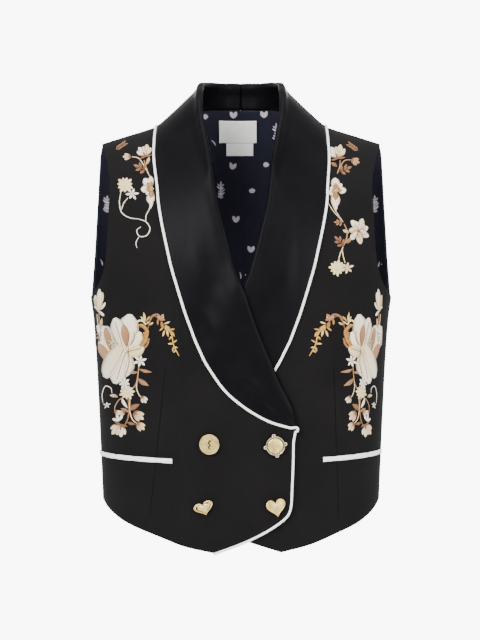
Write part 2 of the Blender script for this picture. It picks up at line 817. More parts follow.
def noise(tree, at, scale, detail=2.0):
    inputs = {"Vector": at, "Scale": scale, "Detail": detail, "Roughness": 0.55}
    return node(tree, "ShaderNodeTexNoise", None, inputs)[0]


def scaled(tree, at, scale):
    return node(tree, "ShaderNodeVectorMath", {"operation": "MULTIPLY"}, {0: at, 1: scale})[0]


def weave(tree, at, *scale):
    """Fine grain of a cloth, by its threads a metre along x, y and z."""
    return noise(tree, scaled(tree, at, scale), 1.0)


def wave(value, length):
    """A ripple of 0 to 1 with the given length."""
    return (value * (2 * math.pi / length)).math("SINE") * 0.5 + 0.5


def bump(tree, shader, height, depth, strength):
    made = node(tree, "ShaderNodeBump", None, {"Strength": strength, "Distance": depth, "Height": height})
    feed(tree, shader, "Normal", made[0])


def feed(tree, shader, socket, tone):
    tree.links.new(tone.socket, shader.inputs[socket])


# The darts' sewn lines: x at the top and how far each leans out over the run
Dart = namedtuple("Dart", "x lean")
DARTS = (Dart(-0.0915, -0.0215), Dart(0.1135, 0.0070))
DART_TOP_Z = -0.285
DART_RUN = 0.2
DART_TOP_FADE = (-0.296, -0.284)
DART_FOOT_FADE = (-0.482, -0.470)
DART_FRONT_FADE = (-0.02, 0.0)
DART_LINE = (0.00035, 0.0009)
# The seam of the half-moon inside the back neck
FACING_Z = -0.0345
FACING_CURVE = 14.0
FACING_LINE = (0.0003, 0.0008)
FACING_ENDS = (0.062, 0.064)


def crepe_material():
    material, tree, shader = new_material("warm_black_crepe", (0.0068, 0.0058, 0.0062), 0.86,
                                          sheen=0.015, specular=0.09)
    at = place(tree)
    grain = weave(tree, at, 1700.0, 1700.0, 1250.0)
    cloud = noise(tree, at, 14.0)
    dart = dart_line(*axes(tree, at))
    tone = (grain * 0.35 + cloud * 0.65).band(0.25, 0.75)
    dark = mix(tree, tone, (0.0024, 0.0020, 0.0022), (0.0042, 0.0036, 0.0040))
    feed(tree, shader, "Base Color", mix(tree, dart, dark, (0.0005, 0.0005, 0.0006)))
    feed(tree, shader, "Roughness", grain * 0.14 + 0.78)
    bump(tree, shader, grain - dart * 2.2, 0.00022, 0.7)
    return material


def dart_line(x, y, z):
    """The sewn lines of the two front darts."""
    low = z.band(*DART_FOOT_FADE)
    high = 1.0 - z.band(*DART_TOP_FADE)
    front = 1.0 - y.band(*DART_FRONT_FADE)
    down = (z * -1.0 + DART_TOP_Z) / DART_RUN
    right, left = (abs(x - dart.x - down * dart.lean) for dart in DARTS)
    return (1.0 - right.math("MINIMUM", left).band(*DART_LINE)) * low * high * front


def satin_material():
    material, tree, shader = new_material("blue_black_satin", (0.0080, 0.0074, 0.0094), 0.52,
                                          specular=0.045)
    at = place(tree)
    warp = weave(tree, at, 2600.0, 2600.0, 420.0)
    cloud = noise(tree, at, 20.0)
    tone = (warp * 0.4 + cloud * 0.6).band(0.25, 0.75)
    feed(tree, shader, "Base Color", mix(tree, tone, (0.0014, 0.0012, 0.0019), (0.0027, 0.0024, 0.0034)))
    feed(tree, shader, "Roughness", cloud * 0.12 + 0.38)
    bump(tree, shader, warp, 0.00008, 0.6)
    return material


def lining_material():
    material, tree, shader = new_material("navy_lining", (0.0055, 0.0058, 0.0165), 0.55,
                                          sheen=0.03, specular=0.2)
    at = place(tree)
    x, _, z = axes(tree, at)
    twill = wave(x + z, 0.0011) * wave(z - x * 0.4, 0.0016)
    cloud = noise(tree, at, 18.0)
    tone = (twill * 0.35 + cloud * 0.65).band(0.2, 0.8)
    seam = neck_facing_line(x, z)
    dyed = mix(tree, tone, (0.0042, 0.0044, 0.0130), (0.0070, 0.0073, 0.0205))
    feed(tree, shader, "Base Color", mix(tree, seam, dyed, (0.0025, 0.0025, 0.0060)))
    bump(tree, shader, twill - seam * 2.0, 0.00012, 0.6)
    return material


def neck_facing_line(x, z):
    """The curved seam of the half-moon at the back neck."""
    off = abs(z - (x * x * FACING_CURVE + FACING_Z))
    return (1.0 - off.band(*FACING_LINE)) * (1.0 - abs(x).band(*FACING_ENDS))


def ivory_material():
    material, tree, shader = new_material("ivory_satin_cord", (0.80, 0.795, 0.765), 0.55, sheen=0.15)
    at = place(tree)
    grain = weave(tree, at, 2400.0, 2400.0, 2400.0)
    pucker = noise(tree, at, 160.0)
    tone = (grain * 0.4 + pucker * 0.6).band(0.25, 0.75)
    feed(tree, shader, "Base Color", mix(tree, tone, (0.72, 0.71, 0.68), (0.86, 0.855, 0.83)))
    bump(tree, shader, grain * 0.5 + pucker, 0.0002, 0.6)
    return material


def tape_material():
    material, tree, shader = new_material("white_label_tape", (0.90, 0.89, 0.87), 0.55, sheen=0.10)
    at = place(tree)
    x, _, z = axes(tree, at)
    ribs = wave(z, 0.0007) * 0.6 + wave(x, 0.0005) * 0.4
    tone = noise(tree, at, 60.0).band(0.3, 0.7)
    feed(tree, shader, "Base Color", mix(tree, tone, (0.88, 0.87, 0.85), (0.95, 0.94, 0.92)))
    bump(tree, shader, ribs, 0.00012, 0.7)
    return material


def gold_material():
    material, tree, shader = new_material("pale_hammered_gold", (0.80, 0.68, 0.40), 0.34, metallic=1.0)
    at = place(tree)
    hammer = noise(tree, at, 700.0)
    tone = noise(tree, at, 190.0).band(0.3, 0.7)
    feed(tree, shader, "Base Color", mix(tree, tone, (0.52, 0.37, 0.11), (0.72, 0.56, 0.23)))
    feed(tree, shader, "Roughness", hammer * 0.25 + 0.24)
    bump(tree, shader, hammer, 0.0004, 0.7)
    return material


def silver_material():
    material, tree, shader = new_material("pale_silver_rim", (0.62, 0.53, 0.34), 0.32, metallic=1.0)
    cloud = noise(tree, place(tree), 600.0)
    feed(tree, shader, "Roughness", cloud * 0.2 + 0.22)
    bump(tree, shader, cloud, 0.0002, 0.5)
    return material


def pit_material():
    material, tree, shader = new_material("dark_tarnish", (0.010, 0.008, 0.006), 0.8, specular=0.1)
    feed(tree, shader, "Roughness", noise(tree, place(tree), 900.0, 3.0) * 0.3 + 0.45)
    return material


def silk_material(name):
    """Embroidery thread: its colour and its lie come from the stitched mesh."""
    material, tree, shader = new_material(name, (0.7, 0.6, 0.4), 0.50, sheen=0.12, specular=0.35)
    colour = node(tree, "ShaderNodeAttribute", {"attribute_name": "thread_colour"})[0]
    lie = node(tree, "ShaderNodeAttribute", {"attribute_name": "thread_lie"})[2]
    thread = wave(lie, 0.00042)
    stitch_row = wave(lie, 0.0060)
    fray = noise(tree, place(tree), 1500.0)
    worn = (thread * 0.3 + stitch_row * 0.45 + fray * 0.25).band(0.1, 0.75)
    dark = scaled(tree, colour, (0.72, 0.68, 0.64))
    feed(tree, shader, "Base Color", mix(tree, worn, dark, colour))
    bump(tree, shader, thread, 0.00012, 0.8)
    return material


CREPE = crepe_material()
SATIN = satin_material()
LINING = lining_material()
IVORY = ivory_material()
TAPE = tape_material()
GOLD = gold_material()
SILVER = silver_material()
PIT = pit_material()
SILK = silk_material("embroidery_silk")
WOVEN = silk_material("woven_lining_motif")


def surface_tree(grid, normals, wall):
    """The outer face of a wall, to rest other pieces on."""
    quads = grid_quads(*grid.shape[:2])
    if faces_inward(grid, normals):
        quads = [quad[::-1] for quad in quads]
    outer = (grid + normals * wall).reshape(-1, 3)
    return BVHTree.FromPolygons([Vector(point) for point in outer], quads)


def rest_points(points, trees, clear):
    """Moves points out until they clear the faces in the trees."""
    flat = points.reshape(-1, 3).copy()
    for _ in range(REST_PASSES):
        for i, point in enumerate(flat):
            for tree in trees:
                found, normal, _, distance = tree.find_nearest(Vector(point), REST_REACH)
                if found is None:
                    continue
                height = (Vector(point) - found).dot(normal)
                if abs(height) > 0.5 * distance and REST_BELOW < height < clear:
                    flat[i] = point + np.array(normal) * (clear - height)
                    point = flat[i]
    return flat.reshape(points.shape)


def draped_normals(grid, normals):
    """Normals that follow the drape too, steady across the narrow rows at the underarm."""
    off = np.abs(grid[..., 2] - UNDERARM_Z - UNDERARM_BAND)
    near = smoothstep(1 - off / UNDERARM_RUN)[..., None]
    return unit(blend(grid_normals(grid, (0, -1, 0)), normals, near))


def make_fronts():
    trees = {}
    grids = {}
    pieces = {}
    for name, side in (("front_right", -1), ("front_left", 1)):
        grid = front_grid(side)
        normals = panel_normals(grid)
        piece = cloth_wall(f"{name}_cloth", grid, normals, CLOTH_WALL, CREPE, LINING)
        draped = draped_normals(grid, normals)
        lie = np.concatenate((draped, -draped)).reshape(-1, 3)
        piece.data.normals_split_custom_set_from_vertices(lie.tolist())
        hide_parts(name)
        trees[side] = surface_tree(grid, normals, CLOTH_WALL)
        grids[side] = grid
        pieces[side] = piece
    return trees, grids, pieces


def make_backs():
    trees = {}
    lined_grids = {}
    for name, side in (("right", -1), ("left", 1)):
        grid = back_grid(side)
        normals = back_normals(grid)
        piece = cloth_wall(f"back_{name}_cloth", grid, normals, CLOTH_WALL, CREPE, CREPE)
        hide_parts(f"back_{name}")
        declare_cloth(grid)
        trees[side] = surface_tree(grid, normals, CLOTH_WALL)
        lined = grid - normals * SEAM_GAP
        lined[:, 0, 0] = 0
        piece = cloth_wall(f"lining_{name}_cloth", lined, -normals, LINING_WALL, LINING, LINING)
        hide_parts(f"lining_back_{name}")
        declare_cloth(lined)
        lined_grids[side] = (lined, normals)
    return trees, lined_grids


def lapel_sections(heights):
    """Collar sections at the heights of a front's border points, from the shoulder down."""
    edge = np.array(LAPEL_EDGE)
    lengths = line_lengths(edge)
    columns = [table_curve(COLLAR_FRONT, "seam_z", name) for name in Section._fields]
    sections = []
    for z in heights:
        if z > LAPEL_TOP_Z:
            sections.append(Section(*(float(column(z)) for column in columns)))
            continue
        along = lengths[-1] * min((LAPEL_TOP_Z - z) / (LAPEL_TOP_Z - LAPEL_END_Z), 1.0)
        edge_x = float(np.interp(along, lengths, edge[:, 0]))
        edge_z = float(np.interp(along, lengths, edge[:, 1]))
        sections.append(Section(0.0, z, 0.0, 0.0, 0.0, edge_x, edge_z, 1.0))
    return sections


def collar_points(section, side, face, foot, normal, inward):
    """Underside of the collar at one section: seam, stand, roll, fall, outer edge."""
    seam = foot + inward * SEAM_REACH
    if section.laid == 1.0:
        roll = foot + inward * ROLL_REACH + normal * ROLL_HEIGHT
        radius = ROLL_RADIUS
    else:
        shift = under_shift(section.seam_z) if side > 0 else 0.0
        roll = np.array((side * (section.roll_x + shift), section.roll_y, section.roll_z))
        radius = blend(NECK_ROLL_RADIUS, ROLL_RADIUS, section.laid)
    out = section.edge_x + (float(under_shift(section.edge_z)) if side > 0 else 0.0)
    gap = CLOTH_WALL + COLLAR_GAP
    over = side < 0 and face < 0
    softness = LAPEL_SOFTNESS if over else 0.0

    def on_cloth(x, z, height):
        height = height + drape(x, z, face)
        height = height + (lift(x, z) if over else 0.0)
        return surface(x, z, face) + outward(x, z, face) * height

    edge = on_cloth(side * out, section.edge_z, gap)
    to_seam = unit(seam - roll)
    to_edge = unit(edge - roll)
    up = unit(-to_seam - to_edge)
    across = unit(to_edge - to_seam)
    points = [seam, blend(seam, roll, STAND_MIDDLE)]
    points += [roll - across * radius, roll + up * radius * ROLL_CROWN, roll + across * radius]
    for part in FALL_STEPS[:-1]:
        free = blend(roll, edge, part) + to_seam * COLLAR_HOLLOW * 4 * part * (1 - part)
        soft = softness * (1 - part) ** 3
        x = blend(roll[0], edge[0], part)
        z = blend(roll[2], edge[2], part)
        laid = on_cloth(x, min(z, float(crest_z(abs(x))) - CREST_CLEAR), gap + soft)
        points.append(blend(free, laid, section.laid))
    points.append(edge)
    return points


def spline_at(points, knots, wanted):
    """Smooth curve through points at given knots."""
    slopes = np.gradient(points, knots, axis=0)
    i = np.clip(np.searchsorted(knots, wanted, side="right") - 1, 0, len(knots) - 2)
    step = (knots[i + 1] - knots[i])[:, None]
    t = ((wanted - knots[i]) / (knots[i + 1] - knots[i]))[:, None]
    made = (2 * t ** 3 - 3 * t ** 2 + 1) * points[i] + (3 * t ** 2 - 2 * t ** 3) * points[i + 1]
    return made + step * ((t ** 3 - 2 * t ** 2 + t) * slopes[i] + (t ** 3 - t ** 2) * slopes[i + 1])


def spline(points, parts):
    """Smooth curve through points, at parts of its length."""
    lengths = line_lengths(points)
    return spline_at(points, lengths / lengths[-1], parts)


def collar_rows(side):
    """Coarse sections of the collar, from the centre back to the end of the lapel."""
    layer = layer_of(side)
    border = [front_row_below(drop, layer)[0] for drop in np.linspace(*COARSE_DROP_RANGE, COARSE_DROP)]
    border += [front_row_above(rise, layer)[0] for rise in rise_steps(COARSE_RISE)]
    border = np.array(border)[::-1]
    x = side * border[:, 0]
    z = border[:, 1]
    keep = z > LAPEL_END_Z
    x = np.append(x[keep], side * float(edge_out(LAPEL_END_Z, layer)))
    z = np.append(z[keep], LAPEL_END_Z)
    normals = outward(x, z, -1)
    feet = on_front(x, z, side, 0.0)
    inwards = unit(np.cross(np.gradient(feet, axis=0), normals))
    if inwards[len(inwards) // 2][0] * side > 0:
        inwards = -inwards
    rows = []
    for section in COLLAR_BACK:
        at = side * section.seam_x
        foot = surface(at, section.seam_z, 1)
        normal = outward(at, section.seam_z, 1)
        below = surface(at, section.seam_z - NECK_SLOPE_STEP, 1)
        rows.append(collar_points(section, side, 1, foot, normal, unit(foot - below)))
    for section, foot, normal, inward in zip(lapel_sections(z), feet, normals, inwards):
        rows.append(collar_points(section, side, -1, foot, normal, inward))
    return np.array(rows)


def collar_grid(side, trees):
    rows = collar_rows(side)
    across = np.linspace(0, 1, COLLAR_COLUMNS)
    fine = np.array([spline(row, across) for row in rows])
    along = np.linspace(0, 1, COLLAR_ROWS)
    middle = fine.shape[1] // 2
    knots = line_lengths(fine[:, middle])
    fine = np.stack([spline_at(fine[:, c], knots / knots[-1], along) for c in range(fine.shape[1])], axis=1)
    fine[0, :, 0] = 0
    normals = grid_normals(fine, (0, -1, 0))
    fold = crease_height(COLLAR_CREASES, fine[..., 0], fine[..., 2], -1)
    shown = smoothstep((across - FOLD_FROM) / FOLD_RUN) * smoothstep((1 - across) / FOLD_EDGE_RUN)
    front = smoothstep(-fine[..., 1] / FOLD_FRONT_RUN)
    fine = fine + normals * (np.maximum(fold, DEEPEST_FOLD) * shown * front)[..., None]
    return rest_points(fine, trees, COLLAR_GAP)


def piping(name, node_name, route):
    """A satin cord along a route, sewn in, a little uneven."""
    curve = bpy.data.curves.new(name, "CURVE")
    curve.dimensions = "3D"
    curve.bevel_depth = PIPING_RADIUS
    curve.bevel_resolution = 3
    curve.use_fill_caps = True
    line = curve.splines.new("POLY")
    line.points.add(len(route) - 1)
    for i, (target, point) in enumerate(zip(line.points, route)):
        target.co = (*point, 1.0)
        target.radius = 1.0 + CORD_UNEVEN * math.sin(i * 1.7) * math.sin(i * 0.31)
    line.use_smooth = True
    curve.materials.append(IVORY)
    piece = bpy.data.objects.new(name, curve)
    bpy.context.scene.collection.objects.link(piece)
    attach(piece, "root")
    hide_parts(node_name)


def make_collars(front_trees, back_trees):
    for name, side in (("right", -1), ("left", 1)):
        trees = (front_trees[side], back_trees[side])
        grid = collar_grid(side, trees)
        normals = grid_normals(grid, (0, -1, 0))
        piece = cloth_wall(f"collar_{name}_satin", grid, normals, COLLAR_WALL, SATIN, SATIN)
        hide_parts(f"collar_{name}")
        declare_cloth(grid)
        edge = grid[:, -1]
        beyond = unit(np.cross(np.gradient(edge, axis=0), normals[:, -1]))
        towards = edge[len(edge) // 2] - grid[len(edge) // 2, -3]
        if np.dot(beyond[len(beyond) // 2], towards) < 0:
            beyond = -beyond
        route = edge + beyond * (PIPING_RADIUS + PIPING_GAP) + normals[:, -1] * PIPING_RAISE
        route = rest_points(route, trees, PIPING_RADIUS + SEAM_GAP)
        if side > 0:
            route = route[route[:, 2] > LEFT_PIPING_END_Z]
        route[0, 0] = side * PIPING_CENTRE_GAP / 2
        piping(f"piping_collar_{name}_cord", f"piping_collar_{name}", route)


def make_front_piping(grid):
    """Down the over front's edge, round its corner, and along the hem to the point."""
    normals = grid_normals(grid, (0, -1, 0))
    start = int(np.argmin(np.abs(grid[:, 0, 2] - FRONT_PIPING_TOP_Z)))
    point_column = int(np.argmin(grid[0, :, 2]))
    border = [(r, 0) for r in range(start, CORD_SKIP, -2)]
    border += [(0, c) for c in range(CORD_SKIP, point_column + 1)]
    parts = np.linspace(0, 1, CORD_POINTS)
    points = spline(np.array([grid[k] for k in border]), parts)
    faces = unit(spline(np.array([normals[k] for k in border]), parts))
    beyond = unit(np.cross(np.gradient(points, axis=0), faces))
    if beyond[0, 0] < 0:
        beyond = -beyond
    route = points + beyond * (PIPING_RADIUS + PIPING_GAP) + faces * CLOTH_WALL / 2
    top = [(corner.x, route[0, 1] - corner.forward, corner.z) for corner in FRONT_CORNER]
    corner = spline(np.array(top + [route[0], route[2]]), np.linspace(0, 1, CORNER_POINTS))
    route = np.concatenate((corner, route[3:]))
    piping("piping_front_edge_cord", "piping_front_edge", route)


def make_welts(front_trees):
    made = {}
    for welt in WELTS:
        parts = strip_parts(np.linspace(0, 1, WELT_COLUMNS), WELT_REACH)
        rows = []
        for height in WELT_LEVELS:
            z = blend(welt.inner_z, welt.outer_z, parts) + height * WELT_HEIGHT
            width = ring_width(z)
            start = np.array([angle_of(welt.inner_out, w, -1) for w in width])
            end = np.array([angle_of(welt.outer_out, w, -1) for w in width])
            x = welt.side * x_of(blend(start, end, parts), width, -1)
            dome = WELT_DOME * (1 - (2 * height) ** 2)
            uneven = WELT_UNEVEN * np.sin(parts * 41.0) * np.sin(parts * 13.0)
            rows.append(on_front(x, z, welt.side, CLOTH_WALL + SEAM_GAP + dome + uneven))
        grid = rest_points(np.array(rows), (front_trees[welt.side],), SEAM_GAP)
        normals = grid_normals(grid, (0, -1, 0))
        piece = cloth_wall(f"{welt.name}_cloth", grid, normals, WELT_WALL, IVORY, IVORY)
        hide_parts(welt.name)
        made[welt.side] = piece
    return made


def make_labels(lined_grids):
    trees = [surface_tree(grid, -normals, LINING_WALL) for grid, normals in lined_grids.values()]
    for label in LABELS:
        across, down = np.meshgrid(np.linspace(-0.5, 0.5, LABEL_COLUMNS), np.linspace(0, 1, LABEL_ROWS))
        x = label.centre_x + label.width * across
        z = blend(label.top_z, label.bottom_z, down)
        curl = LABEL_CURL * np.abs(2 * across) ** 6 * down
        inside = LINING_WALL + 3 * SEAM_GAP + curl
        grid = surface(x, z, 1) - outward(x, z, 1) * inside[..., None]
        grid = rest_points(grid, trees, SEAM_GAP)
        normals = grid_normals(grid, (0, -1, 0))
        piece = cloth_wall(f"{label.name}_tape", grid, normals, LABEL_WALL, TAPE, TAPE)
        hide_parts(label.name)
        declare_cloth(grid)


# Buttons: place on the over front and turn in degrees
Button = namedtuple("Button", "name x z turn")
BUTTON_COIN = Button("button_coin", -0.0377, -0.3849, 0.0)
BUTTON_MEDALLION = Button("button_medallion", 0.0408, -0.3867, 10.0)
BUTTON_HEART_FRAMED = Button("button_heart_framed", -0.0438, -0.4634, 20.0)
BUTTON_HEART_PLAIN = Button("button_heart_plain", 0.0419, -0.4628, 11.0)
BUTTON_RADIUS = 0.0125
BUTTON_UNEVEN = 0.018
SHANK_RADIUS = 0.0030
SHANK_HEIGHT = 0.0028
SHANK_SUNK = 0.0005
PLATE_TOP = SHANK_HEIGHT + 0.0022
MEDALLION_RADIUS = 0.0117
LOBE_REACH = 0.0122
FRAMED_HEART_SIZE = (0.0243, 0.0168)
PLAIN_HEART_SIZE = (0.0238, 0.0222)
HEART_WAVES = ((1, 13), (2, -5), (3, -2), (4, -1))
HEART_REACH = 17
HEART_MIDDLE = 0.13
HEART_STRETCH = 1.17
DISC_POINTS = 72
HEART_POINTS = 96
# Profiles from the middle of the back over the edge to the middle of the face: parts of
# the outline, and heights above the back of the plate
Profile = namedtuple("Profile", "parts heights")
COIN_PROFILE = Profile(
    (0.05, 0.80, 0.93, 0.99, 1.0, 0.985, 0.955, 0.925, 0.905, 0.80, 0.65, 0.5, 0.35, 0.2, 0.06),
    (0, 0, 0.0002, 0.0010, 0.0015, 0.0020, 0.0022, 0.0020, 0.0015, 0.0016, 0.0017, 0.0018, 0.0018,
     0.0019, 0.0019),
)
MEDALLION_PROFILE = Profile(
    (0.05, 0.85, 0.97, 1.0, 0.99, 0.955, 0.915, 0.89, 0.82, 0.79, 0.70, 0.5, 0.3, 0.08),
    (0, 0, 0.0003, 0.0012, 0.0019, 0.0022, 0.0020, 0.0015, 0.0014, 0.0021, 0.0025, 0.0028, 0.0030, 0.0030),
)
FRAMED_PROFILE = Profile(
    (0.05, 0.88, 0.97, 1.0, 0.985, 0.93, 0.82, 0.79, 0.77, 0.67, 0.65, 0.60, 0.4, 0.2, 0.06),
    (0, 0, 0.0003, 0.0011, 0.0020, 0.0022, 0.0021, 0.0019, 0.0013, 0.0013, 0.0019, 0.0023, 0.0026,
     0.0027, 0.0027),
)
PLAIN_PROFILE = Profile(
    (0.05, 0.88, 0.97, 1.0, 0.985, 0.95, 0.91, 0.86, 0.7, 0.5, 0.3, 0.08),
    (0, 0, 0.0003, 0.0011, 0.0020, 0.0022, 0.0019, 0.0017, 0.0021, 0.0025, 0.0027, 0.0028),
)
HAMMERED_ABOVE = 0.0008
HAMMER_DEPTH = 0.00012
PLAIN_HAMMER_DEPTH = 0.00016
COIN_MARKS = 4
MARK_STEP = 0.0028
MEDALLION_DOTS = 28
DOT_REACH = 0.865
DOT_RADIUS = 0.00088
EYELETS = 4
EYELET_RADIUS = 0.0017
EYELET_CORD = 0.00075
PITS = 26
PIT_TURN = 2.4
PIT_REACH = 0.0082
PIT_RADIUS = 0.00028
TORUS_SIDES = 20
TORUS_ROUND = 8


def heart_outline(width, height):
    """Heart curve scaled to a width and a height, its lobes up."""
    t = 2 * math.pi * (np.arange(HEART_POINTS) + 0.5) / HEART_POINTS
    y = sum(size * np.cos(wave_number * t) for wave_number, size in HEART_WAVES) / HEART_REACH
    return np.stack((np.sin(t) ** 3 * width / 2, (y + HEART_MIDDLE) * HEART_STRETCH * height / 2), axis=-1)


def disc_outline(radius, count=DISC_POINTS, uneven=0.0):
    t = 2 * math.pi * np.arange(count) / count
    reach = radius * (1 - uneven + uneven * np.sin(3 * t + 0.6) * np.cos(5 * t))
    return np.stack((np.sin(t) * reach, np.cos(t) * reach), axis=-1)


def plate_rings(outline, profile, hammer=HAMMER_DEPTH):
    """Rings of a button's plate, in the order of its profile."""
    rings = []
    for part, height in zip(*profile):
        x, y = (outline * part).T
        dents = np.sin(x * 1900 + y * 700) * np.sin(y * 2300 - x * 500)
        z = SHANK_HEIGHT + height + hammer * dents * (height > HAMMERED_ABOVE)
        rings.append(np.stack((x, y, z), axis=-1))
    return rings


class ButtonMesh:
    """Collects turned rings and small forms into one mesh: finishes 0 gold, 1 rim, 2 pits."""

    def __init__(self):
        self.vertices = []
        self.faces = []
        self.indices = []

    def rings(self, rings, index):
        """Closed form from rings from the top down, each as long as the first; ends are capped."""
        start = len(self.vertices)
        count = len(rings[0])
        for ring in rings:
            self.vertices += [tuple(point) for point in ring]
        for r in range(len(rings) - 1):
            for i in range(count):
                j = (i + 1) % count
                low = start + r * count
                self.faces.append((low + i, low + j, low + count + j, low + count + i))
                self.indices.append(index)
        self.faces.append(tuple(start + i for i in range(count))[::-1])
        last = start + (len(rings) - 1) * count
        self.faces.append(tuple(last + i for i in range(count)))
        self.indices += [index, index]

    def torus(self, x, y, z, large, small, index):
        start = len(self.vertices)
        for i in range(TORUS_SIDES):
            a = 2 * math.pi * i / TORUS_SIDES
            for j in range(TORUS_ROUND):
                b = 2 * math.pi * j / TORUS_ROUND
                reach = large + small * math.cos(b)
                point = (x + reach * math.cos(a), y + reach * math.sin(a), z + small * math.sin(b))
                self.vertices.append(point)
        for i in range(TORUS_SIDES):
            for j in range(TORUS_ROUND):
                a = start + i * TORUS_ROUND
                b = start + (i + 1) % TORUS_SIDES * TORUS_ROUND
                k = (j + 1) % TORUS_ROUND
                self.faces.append((a + j, b + j, b + k, a + k))
                self.indices.append(index)

    def peg(self, x, y, radius, low, high, index, sides):
        ring = disc_outline(radius, sides) + np.array((x, y))
        self.rings([[(*point, level) for point in ring] for level in (high, low)], index)

    def shank(self):
        self.peg(0, 0, SHANK_RADIUS, 0.0, SHANK_HEIGHT + SHANK_SUNK, 1, 14)

    def seat(self, button, rim=SILVER):
        """Makes the piece, on the over front at its place and turn."""
        point = on_front(np.array(button.x), np.array(button.z), -1, CLOTH_WALL + SEAM_GAP)
        normal = Vector(outward(button.x, button.z, -1))
        up = (Vector((0, 0, 1)) - normal * normal.z).normalized()
        frame_rows = Matrix((up.cross(normal), up, normal)).transposed()
        turn = frame_rows @ Matrix.Rotation(math.radians(button.turn), 3, "Z")
        placed = np.array(self.vertices) @ np.array(turn).T + point
        piece = new_piece(f"{button.name}_gilt", placed, self.faces, (GOLD, rim, PIT), self.indices)
        piece.data.set_sharp_from_angle(angle=math.radians(50))
        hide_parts(button.name)


def make_coin():
    """A worn coin with a few plain raised marks."""
    coin = ButtonMesh()
    coin.rings(plate_rings(disc_outline(BUTTON_RADIUS, uneven=BUTTON_UNEVEN), COIN_PROFILE)[::-1], 0)
    coin.shank()
    for k in range(COIN_MARKS):
        y = MARK_STEP * (1.5 - k)
        tilt = 0.0007 * (-1) ** k
        low = PLATE_TOP - 0.0006
        coin.peg(tilt, y, 0.00125 - 0.0001 * k, low, PLATE_TOP + 0.0001, 2, 10)
        coin.peg(-tilt, y - 0.0014, 0.0009, low, PLATE_TOP, 2, 10)
    coin.seat(BUTTON_COIN)


def make_medallion():
    """A domed face in a dotted rim, with four eyelets."""
    medallion = ButtonMesh()
    rings = plate_rings(disc_outline(MEDALLION_RADIUS), MEDALLION_PROFILE)
    medallion.rings(rings[8:][::-1], 0)
    medallion.rings(rings[:9][::-1], 1)
    for k in range(MEDALLION_DOTS):
        a = 2 * math.pi * (k + 0.5) / MEDALLION_DOTS
        reach = MEDALLION_RADIUS * DOT_REACH
        medallion.peg(reach * math.sin(a), reach * math.cos(a), DOT_RADIUS, PLATE_TOP - 0.0012,
                      PLATE_TOP - 0.0002, 2, 8)
    for k in range(EYELETS):
        a = 2 * math.pi * k / EYELETS
        x = LOBE_REACH * math.cos(a)
        y = LOBE_REACH * math.sin(a)
        medallion.torus(x, y, PLATE_TOP - 0.0009, EYELET_RADIUS, EYELET_CORD, 1)
        medallion.peg(x, y, 0.0011, PLATE_TOP - 0.0016, PLATE_TOP - 0.0009, 2, 10)
    medallion.shank()
    medallion.seat(BUTTON_MEDALLION)


def make_framed_heart():
    """A raised heart in a dark groove and a frame."""
    framed = ButtonMesh()
    rings = plate_rings(heart_outline(*FRAMED_HEART_SIZE), FRAMED_PROFILE)
    framed.rings(rings[9:][::-1], 0)
    framed.rings(rings[7:10][::-1], 2)
    framed.rings(rings[:8][::-1], 1)
    framed.shank()
    framed.seat(BUTTON_HEART_FRAMED, GOLD)


def make_plain_heart():
    """A hammered heart with a scatter of small pits."""
    plain = ButtonMesh()
    plain.rings(plate_rings(heart_outline(*PLAIN_HEART_SIZE), PLAIN_PROFILE, PLAIN_HAMMER_DEPTH)[::-1], 0)
    for k in range(PITS):
        a = PIT_TURN * k
        reach = PIT_REACH * math.sqrt((k + 0.5) / PITS)
        plain.peg(reach * math.cos(a), reach * math.sin(a) + 0.0008, PIT_RADIUS, PLATE_TOP - 0.0008,
                  PLATE_TOP + 0.0004, 2, 6)
    plain.shank()
    plain.seat(BUTTON_HEART_PLAIN)


# Colours of the threads
PEARL = (0.88, 0.82, 0.67)
CREAM = (0.80, 0.62, 0.36)
STRAW = (0.76, 0.67, 0.30)
TAN = (0.245, 0.104, 0.030)
ROSE_TAN = (0.375, 0.180, 0.068)
BRONZE = (0.130, 0.047, 0.009)
OCHRE = (0.36, 0.16, 0.020)
GILT = (0.56, 0.32, 0.050)
LILAC = (0.60, 0.54, 0.62)

# The photo's frame, in which the needlework's places are given
PIXEL = 0.00128
PHOTO_MIDDLE = (241.0, 320.0)
SIDE_LIMIT = 0.1865
# Where columns of the spray on the wearer's right come again on the left
SPRAY_COLUMNS = (95.0, 99.0, 120.0, 137.0, 145.0, 180.0)
LEFT_COLUMNS = (382.0, 378.5, 366.0, 354.0, 348.0, 308.0)

EDGE_SHADE = 0.72
TUCKED_IN = -0.0002
LAYER_STEP = 0.0002
PETAL_ROWS = 9
PETAL_COLUMNS = 7
PETAL_LIFT = 0.00005
STEM_LIFT = 0.0001
STEM_HEIGHT = 0.0005
STEM_SPANS = 6
STEM_COLUMNS = 5
STEM_TAPER = 0.35
WOVEN_HEIGHT = 0.00018


def seen(px, py, face=-1):
    """The (x, z) of the cloth that shows at a place in the photo's frame."""
    y = np.zeros(px.shape)
    for _ in range(6):
        scale = PIXEL * (CAMERA_DISTANCE + y) / CAMERA_DISTANCE
        x = np.clip((px - PHOTO_MIDDLE[0]) * scale, -SIDE_LIMIT, SIDE_LIMIT)
        z = CAMERA_Z + (PHOTO_MIDDLE[1] - py) * scale
        y = cloth_y(x, z, face)
    return x, z


def shown_at(points):
    """Where points show in the photo's frame."""
    scale = PIXEL * (CAMERA_DISTANCE + points[:, 1]) / CAMERA_DISTANCE
    px = PHOTO_MIDDLE[0] + points[:, 0] / scale
    py = PHOTO_MIDDLE[1] - (points[:, 2] - CAMERA_Z) / scale
    return np.stack((px, py), axis=-1)


